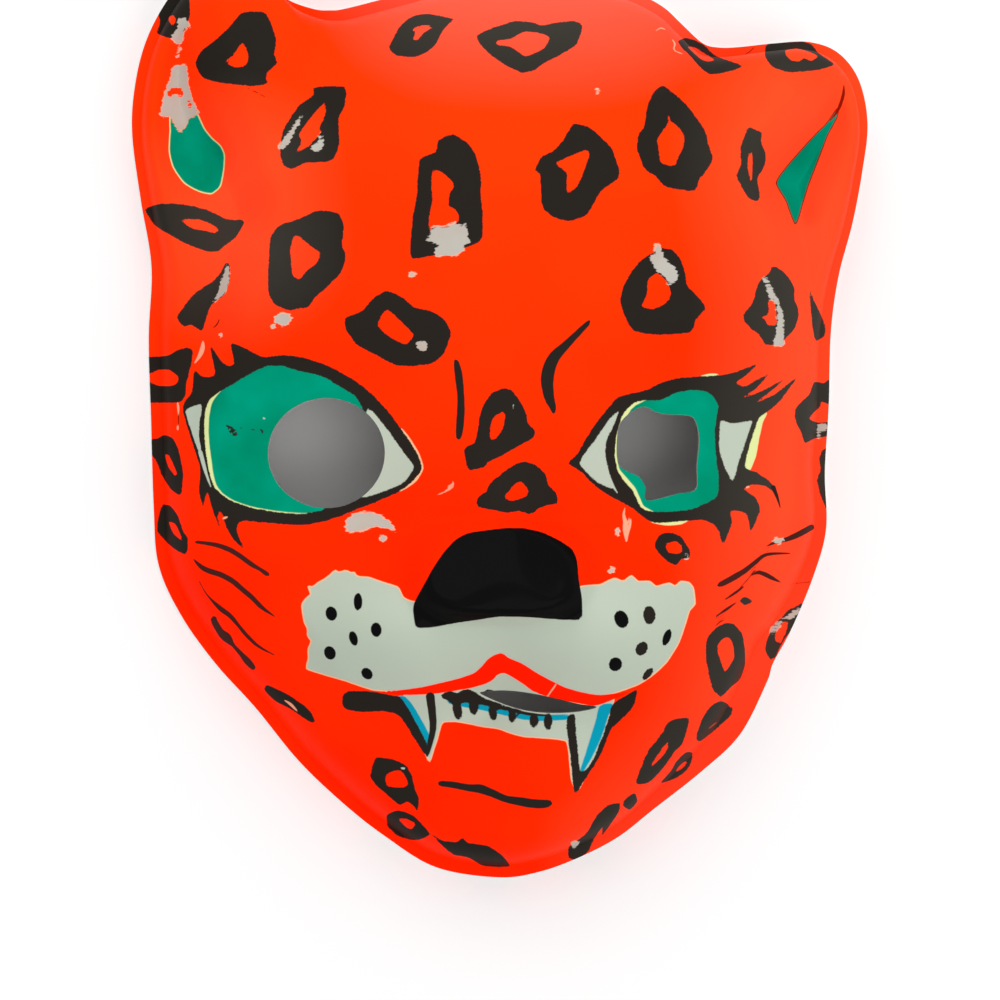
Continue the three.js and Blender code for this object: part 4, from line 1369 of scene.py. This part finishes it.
@dataclass(frozen=True)
class BarePlastic:
    """The unpainted white plastic of the inside and the cut edges."""

    name: str = "bare_plastic"
    tone: Colour = colour(214, 210, 202)
    shade: Colour = colour(196, 190, 181)
    clouds: Grain = Grain(55, 4)
    grit: Grain = Grain(900, 3)
    grit_strength: float = 0.12
    grit_height: float = 0.0002
    roughness: float = 0.42
    roughness_spread: float = 0.15

    def build(self) -> bpy.types.Material:
        """Makes the material."""
        bench = NodeBench(self.name)
        cloud = bench.noise(self.clouds)
        fine = bench.noise(self.grit)
        return bench.finish({
            "Base Color": bench.blend(cloud, self.tone, self.shade),
            "Roughness": self.roughness + (fine - 0.5) * self.roughness_spread,
            "Normal": bench.bump(fine, self.grit_strength, self.grit_height),
        })


@dataclass(frozen=True)
class PaintedPlastic:
    """The outside: fluorescent orange-red with the picture's paints over it, a soft sheen, and a painted
    sheen that pales its colour on the sides and at the forehead's top.
    """

    name: str = "painted_plastic"
    orange: Colour = (0.84, 0.038, 0.002, 1.0)
    deep_orange: Colour = (0.84, 0.014, 0.0, 1.0)
    glow: Colour = (0.3, 0.003, 0.0, 1.0)
    no_glow: Colour = (0.0, 0.0, 0.0, 1.0)
    under: Colour = colour(212, 220, 152)
    fringe: Colour = colour(238, 186, 142)
    white: Colour = colour(178, 188, 172)
    green: Colour = colour(0, 148, 118)
    deep_green: Colour = colour(0, 130, 98)
    blue: Colour = colour(8, 148, 174)
    lip: Colour = (0.82, 0.008, 0.0, 1.0)
    black: Colour = colour(38, 34, 30)
    pitch: Colour = colour(12, 12, 12)
    brown: Colour = colour(132, 22, 6)
    bare: Colour = colour(182, 188, 181)
    bare_pink: Colour = colour(182, 160, 146)
    peach: Colour = colour(244, 160, 128)
    # Tones of the painted sheen: warm on the sides, pale at the forehead's top and over the black.
    warm_painted_sheen: Colour = (0.9, 0.62, 0.3, 1.0)
    pale_painted_sheen: Colour = (0.9, 0.85, 0.7, 1.0)
    shade_gradient_low_and_high: tuple[float, float] = (-0.035, 0.05)
    orange_clouds: Grain = Grain(22)
    green_clouds: Grain = Grain(80)
    bare_clouds: Grain = Grain(120)
    cloud_from: float = 0.35
    cloud_contrast: float = 3.0
    cloud_share: float = 0.3
    lumps: Grain = Grain(700, 3)
    grit: Grain = Grain(2600, 1)
    crumbs: Grain = Grain(1300, 6, (0.45, 1.5, 1.0))
    ripples: Grain = Grain(70)
    ripple_strength: float = 0.12
    ripple_height: float = 0.0005
    wobble: float = 2.0
    fine_wobble: float = 1.6
    smooth_share: float = 0.4
    crumble: float = 8.0
    softness: float = 1.0
    line_margin: float = 1.6
    chip_edge: float = 0.9
    # How soft and how strong the painted sheen is, on the orange and on the black.
    painted_sheen_softness: float = 110.0
    painted_sheen_share: float = 0.065
    painted_top_sheen_share: float = 0.075
    painted_sheen_on_black: float = 0.4
    sheen: float = 0.0015
    roughness: float = 0.35
    bare_extra_roughness: float = 0.2
    nose_gloss: float = 0.035
    gloss_roughness: float = 0.15

    def covered(self, distance: Signal, wobble: Any, softness: float) -> Signal:
        """How much a paint covers.

        Args:
            distance: The signed distance to its edge, in picture pixels.
            wobble: The unevenness of its edge, in picture pixels.
            softness: The width over which its edge fades, in picture pixels.

        Returns:
            0 beside the paint and 1 on it.
        """
        return (0.5 - (distance + wobble) * (1 / softness)).bounded()

    def clouded(self, bench: NodeBench, grain: Grain) -> Signal:
        """Soft clouds, from 0 between them to 1 in their middles."""
        return ((bench.noise(grain) - self.cloud_from) * self.cloud_contrast).bounded()

    def paints(self, bench: NodeBench) -> dict[Layer, Any]:
        """The colour of each paint, in the order they lie on the plastic."""
        greens = self.clouded(bench, self.green_clouds)
        return {
            Layer.UNDER: self.under,
            Layer.FRINGE: self.fringe,
            Layer.BROWN: self.brown,
            Layer.WHITE: self.white,
            Layer.GREEN: bench.blend(greens, self.green, self.deep_green),
            Layer.BLUE: self.blue,
            Layer.LIP: self.lip,
            Layer.BLACK: self.black,
            Layer.PITCH: self.pitch,
        }

    def brush_lines(self, bench: NodeBench, wobble: Any) -> tuple[Signal, Signal]:
        """The brush lines' cover and colour.

        Args:
            bench: The material's bench.
            wobble: The unevenness of their edges, in picture pixels.

        Returns:
            How much they cover, and their colour.
        """
        names = ("side", "half", "near", "tone")
        side, half, near, tone = (bench.attribute("line_" + name) for name in names)
        over = self.covered(abs(side) - half, wobble, self.softness)
        close = self.covered(near - half, -self.line_margin, self.softness)
        shade = bench.blend(tone.bounded(), self.black, self.brown)
        shade = bench.blend((tone - 1).bounded(), shade, self.peach)
        return over * close, bench.blend((tone - 2).bounded(), shade, self.white)

    def ground(self, bench: NodeBench) -> Signal:
        """The orange-red itself, in soft clouds, and more orange towards the forehead and deeper red towards
        the chin: partly the paint's own tone, partly painted shade for light falling from above.
        """
        low, high = self.shade_gradient_low_and_high
        # Partly painted shade: the orange turns deeper red towards the chin and lighter towards the forehead,
        # as light from above would fall.
        height = ((bench.part("Y") - low) * (1 / (high - low))).bounded()
        cloud = self.clouded(bench, self.orange_clouds)
        share = height * (1 - self.cloud_share) + cloud * self.cloud_share
        return bench.blend(share, self.deep_orange, self.orange)

    def build(self) -> bpy.types.Material:
        """Makes the material."""
        bench = NodeBench(self.name)
        lumps = bench.noise(self.lumps) - 0.5
        ragged = lumps * self.wobble + (bench.noise(self.grit) - 0.5) * self.fine_wobble
        smooth = lumps * (self.wobble * self.smooth_share)
        crumbled = (bench.noise(self.crumbs) - 0.5) * self.crumble
        worn = bench.attribute(Layer.BARE.value)
        kept = 1 - self.covered(bench.attribute(gap_name(Layer.BARE)), crumbled, self.softness)
        chipped = self.covered(worn, crumbled - self.chip_edge, self.softness) * kept
        bared = self.covered(worn, crumbled, self.softness) * kept
        # Painted sheen: the colour is paled towards a warm tone on the sides and a pale one at the forehead's
        # top, for soft light reflected there; the black is paled too, more weakly.
        haze = self.covered(bench.attribute(Layer.PAINTED_SHEEN.value), 0.0, self.painted_sheen_softness) * self.painted_sheen_share
        film = self.covered(bench.attribute(Layer.PAINTED_TOP_SHEEN.value), 0.0, self.painted_sheen_softness) * self.painted_top_sheen_share
        shown = bench.blend(film, bench.blend(haze, self.ground(bench), self.warm_painted_sheen), self.pale_painted_sheen)
        glow = self.glow
        cover = {}
        for layer, paint in self.paints(bench).items():
            wobble = ragged if layer is Layer.BLACK else smooth
            cover[layer] = self.covered(bench.attribute(layer.value), wobble, self.softness)
            if layer in GAPPED:
                gap = self.covered(bench.attribute(gap_name(layer)), wobble, self.softness)
                cover[layer] = cover[layer] * (1 - gap)
            if layer is Layer.BLACK:
                shown = bench.blend(chipped, shown, self.peach)
                paint = bench.blend((haze + film) * self.painted_sheen_on_black, paint, self.pale_painted_sheen)
            shown = bench.blend(cover[layer], shown, paint)
            glow = bench.blend(cover[layer], glow, self.glow if layer is Layer.LIP else self.no_glow)
        drawn, shade = self.brush_lines(bench, smooth)
        for share, paint in ((drawn, shade), (bared, self.bare_tone(bench))):
            shown = bench.blend(share, shown, paint)
            glow = bench.blend(share, glow, self.no_glow)
        return bench.finish({
            "Base Color": shown,
            "Roughness": self.roughness + bared * self.bare_extra_roughness,
            "Specular IOR Level": self.sheen,
            "Coat Weight": cover[Layer.PITCH] * self.nose_gloss,
            "Coat Roughness": self.gloss_roughness,
            "Emission Color": glow,
            "Emission Strength": 1.0,
            "Normal": bench.bump(bench.noise(self.ripples), self.ripple_strength, self.ripple_height),
        })

    def bare_tone(self, bench: NodeBench) -> Signal:
        """The plastic that shows where the paint is off."""
        return bench.blend(bench.noise(self.bare_clouds), self.bare, self.bare_pink)


def vertex_rows(piece: bpy.types.Object, name: str) -> np.ndarray:
    """Places or normals of a mesh's points.

    Args:
        piece: The mesh's object.
        name: "co" for the places in metres, or "normal".

    Returns:
        Three numbers for each point, one point a row.
    """
    flat = np.empty(len(piece.data.vertices) * 3)
    piece.data.vertices.foreach_get(name, flat)
    return flat.reshape(-1, 3)


@dataclass
class MaskShell:
    """The mask itself: outside, inside, rim and cut-outs in one closed mesh."""

    form: MaskForm = field(default_factory=MaskForm)
    view: PictureView = field(default_factory=PictureView)
    paint: PaintScheme = field(default_factory=PaintScheme)
    name: str = "leopard_mask"
    outer_rings: int = 144
    inner_rings: int = 46
    left_eye: Point = (-38.1, -8.7)
    left_eye_half: Point = (12.2, 11.4)
    cut_corners: int = 96
    cutter_from: float = -5.0
    cutter_depth: float = 75.0
    rim_band: tuple[float, float] = (0.1, 0.7)
    crisp_angle: float = 40.0
    steepest_paint: float = 0.12
    line_margin: float = 0.01
    hole_steps: int = 8

    def grid(self, name: str, rings: int) -> tuple[bpy.types.Object, np.ndarray, np.ndarray]:
        """A flat square grid to be formed.

        Args:
            name: The object's name.
            rings: Grid lines from the middle to the edge.

        Returns:
            The object, with its columns and rows from -1 to 1.
        """
        bpy.ops.object.select_all(action="DESELECT")
        bpy.ops.mesh.primitive_grid_add(x_subdivisions=2 * rings, y_subdivisions=2 * rings, size=2)
        sheet = bpy.context.object
        sheet.name = name
        columns, rows, _ = vertex_rows(sheet, "co").T
        return sheet, np.round(columns * rings) / rings, np.round(rows * rings) / rings

    def move(self, piece: bpy.types.Object, points: np.ndarray) -> None:
        """Moves a mesh's points to places given in millimetres."""
        piece.data.vertices.foreach_set("co", (points * MM).ravel())
        piece.data.update()

    def outside(self) -> bpy.types.Object:
        """Forms the outer surface."""
        sheet, columns, rows = self.grid(self.name, self.outer_rings)
        self.move(sheet, self.form.surface(columns, rows, self.outer_rings))
        return sheet

    def inside(self) -> bpy.types.Object:
        """Forms the inner surface: the outer one lowered by the wall, more where it is steep."""
        sheet, columns, rows = self.grid("inside", self.inner_rings)
        outer = self.form.surface(columns, rows, self.inner_rings)
        self.move(sheet, outer)
        upright = np.maximum(vertex_rows(sheet, "normal")[:, 2], self.form.steepest)
        inner = outer.copy()
        inner[:, 2] = np.maximum(outer[:, 2] - self.form.wall / upright, 0)
        line = np.maximum(np.abs(columns), np.abs(rows)) * self.form.knots
        foot = self.form.knots - 1
        on_flange = line > foot - self.line_margin
        drawn_in = np.where(line < foot + self.line_margin, self.form.foot_mitre, 0.0)
        radius = np.linalg.norm(outer[:, :2], axis=1)
        inner[on_flange, 2] = 0
        inner[on_flange, :2] *= (1 - drawn_in / radius)[on_flange, None]
        self.move(sheet, inner)
        bpy.ops.object.mode_set(mode="EDIT")
        bpy.ops.mesh.select_all(action="SELECT")
        bpy.ops.mesh.flip_normals()
        bpy.ops.object.mode_set(mode="OBJECT")
        return sheet

    def close_rim(self, outer: bpy.types.Object, inner: bpy.types.Object) -> None:
        """Joins the inside to the outside and closes the rim between them.

        Args:
            outer: The outer surface, which becomes the shell.
            inner: The inner surface, which is used up.
        """
        bpy.ops.object.select_all(action="DESELECT")
        inner.select_set(True)
        outer.select_set(True)
        bpy.context.view_layer.objects.active = outer
        bpy.ops.object.join()
        bpy.ops.object.mode_set(mode="EDIT")
        bpy.ops.mesh.select_mode(type="EDGE")
        bpy.ops.mesh.select_all(action="DESELECT")
        bpy.ops.mesh.select_non_manifold(use_wire=False, use_multi_face=False, use_non_contiguous=False)
        bpy.ops.mesh.bridge_edge_loops()
        bpy.ops.object.mode_set(mode="OBJECT")

    def cutter(self, loop: np.ndarray) -> bpy.types.Object:
        """A straight-sided block of an outline, to cut a hole with.

        Args:
            loop: The outline's corners in millimetres.

        Returns:
            The cutter.
        """
        bpy.ops.object.select_all(action="DESELECT")
        bpy.ops.mesh.primitive_circle_add(vertices=len(loop), radius=1, fill_type="NGON")
        block = bpy.context.object
        self.move(block, np.column_stack([loop, np.full(len(loop), self.cutter_from)]))
        bpy.ops.object.mode_set(mode="EDIT")
        bpy.ops.mesh.select_all(action="SELECT")
        bpy.ops.mesh.extrude_region_move(TRANSFORM_OT_translate={"value": (0, 0, self.cutter_depth * MM)})
        bpy.ops.mesh.select_all(action="SELECT")
        bpy.ops.mesh.normals_make_consistent(inside=False)
        bpy.ops.object.mode_set(mode="OBJECT")
        return block

    def hole_loops(self) -> list[np.ndarray]:
        """Outlines of the round left eye, the hand-cut right eye and the mouth slit."""
        x, y = self.left_eye
        half_width, half_height = self.left_eye_half
        turns = np.linspace(0, 2 * math.pi, self.cut_corners, endpoint=False)
        left = np.column_stack([x + half_width * np.cos(turns), y + half_height * np.sin(turns)])
        right = even_loop(spline(np.array(RIGHT_EYE_HOLE), self.hole_steps, True), self.cut_corners)
        mouth = even_loop(spline(np.array(MOUTH_SLIT), self.hole_steps, True), self.cut_corners)
        return [left, right, mouth]

    def cut_holes(self, shell: bpy.types.Object) -> None:
        """Cuts the eyes and the mouth through the shell."""
        for loop in self.hole_loops():
            block = self.cutter(loop)
            block.data.materials.append(None)
            block.data.materials.append(None)
            block.data.polygons.foreach_set("material_index", [1] * len(block.data.polygons))
            bpy.context.view_layer.objects.active = shell
            cut = shell.modifiers.new("hole", "BOOLEAN")
            cut.operation = "DIFFERENCE"
            cut.solver = "EXACT"
            cut.object = block
            bpy.ops.object.modifier_apply(modifier=cut.name)
            bpy.data.objects.remove(block)

    def dress(self, shell: bpy.types.Object) -> None:
        """Gives the shell its paint distances and its two finishes.

        On a steep wall a picture pixel covers a long way, so the distances there are made longer.
        """
        places = self.view.project(vertex_rows(shell, "co") / MM)
        slant = 1 / np.maximum(np.abs(vertex_rows(shell, "normal")[:, 2]), self.steepest_paint)
        numbers = self.paint.areas(places) | self.paint.lines(places)
        for name in numbers.keys() - {Layer.PAINTED_SHEEN.value, Layer.PAINTED_TOP_SHEEN.value, "line_tone"}:
            numbers[name] = numbers[name] * slant
        for name, values in numbers.items():
            attribute = shell.data.attributes.new(name, "FLOAT", "POINT")
            attribute.data.foreach_set("value", values.astype(np.float32))
        low, high = self.rim_band
        for polygon in shell.data.polygons:
            if low * MM < polygon.center.z < high * MM:
                polygon.material_index = 1
        bpy.ops.object.select_all(action="DESELECT")
        shell.select_set(True)
        bpy.context.view_layer.objects.active = shell
        bpy.ops.object.shade_smooth_by_angle(angle=math.radians(self.crisp_angle))

    def build(self) -> bpy.types.Object:
        """Makes the finished shell.

        Returns:
            The shell, standing for the CAD node.
        """
        outer = self.outside()
        inner = self.inside()
        painted, bare = PaintedPlastic().build(), BarePlastic().build()
        for sheet, index in ((outer, 0), (inner, 1)):
            sheet.data.materials.append(painted)
            sheet.data.materials.append(bare)
            sheet.data.polygons.foreach_set("material_index", [index] * len(sheet.data.polygons))
        self.close_rim(outer, inner)
        self.cut_holes(outer)
        self.dress(outer)
        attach(outer, "root")
        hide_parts("mask_shell")
        return outer


@dataclass(frozen=True)
class Lamp:
    """A soft square light: where it hangs and its side in metres, and its power in watts."""

    name: str
    place: Point3
    side: float
    power: float

    def hang(self) -> None:
        """Adds the light, facing the mask."""
        data = bpy.data.lights.new(self.name, "AREA")
        data.size = self.side
        data.energy = self.power
        light = bpy.data.objects.new(self.name, data)
        light.location = self.place
        x, y, z = self.place
        light.rotation_euler = (math.atan2(math.hypot(x, y), z), 0, math.atan2(x, -y))
        bpy.context.scene.collection.objects.link(light)


@dataclass(frozen=True)
class Studio:
    """Plain pale floor and soft light."""

    floor_size: float = 6.0
    floor_tone: Colour = (0.86, 0.86, 0.86, 1.0)
    floor_roughness: float = 0.9
    surround: Colour = (1.0, 1.0, 1.0, 1.0)
    surround_strength: float = 0.6
    lamps: tuple[Lamp, ...] = (
        Lamp("window", (-0.3, 1.3, 0.9), 2.0, 18), Lamp("overhead", (0.6, -0.5, 1.4), 1.6, 14),
    )

    def floor(self) -> None:
        """Adds the floor under the mask."""
        bpy.ops.object.select_all(action="DESELECT")
        bpy.ops.mesh.primitive_plane_add(size=self.floor_size, location=(0, 0, 0))
        floor = bpy.context.object
        floor.name = "floor"
        bench = NodeBench("pale_floor")
        finish = {"Base Color": self.floor_tone, "Roughness": self.floor_roughness}
        floor.data.materials.append(bench.finish(finish))

    def world(self) -> None:
        """Sets an even pale surround."""
        world = bpy.data.worlds.new("surround")
        world.use_nodes = True
        background = world.node_tree.nodes["Background"]
        background.inputs["Color"].default_value = self.surround
        background.inputs["Strength"].default_value = self.surround_strength
        bpy.context.scene.world = world

    def build(self) -> None:
        """Adds floor, lights and surround."""
        self.floor()
        for lamp in self.lamps:
            lamp.hang()
        self.world()
        bpy.context.scene.view_settings.view_transform = "Standard"


def main() -> None:
    """Builds the mask and what shows it."""
    logging.basicConfig(level=logging.INFO)
    mask = MaskShell()
    mask.view.add_camera()
    shell = mask.build()
    LOG.info("%s: %d faces", shell.name, len(shell.data.polygons))
    Studio().build()


if __name__ == "__main__":
    main()
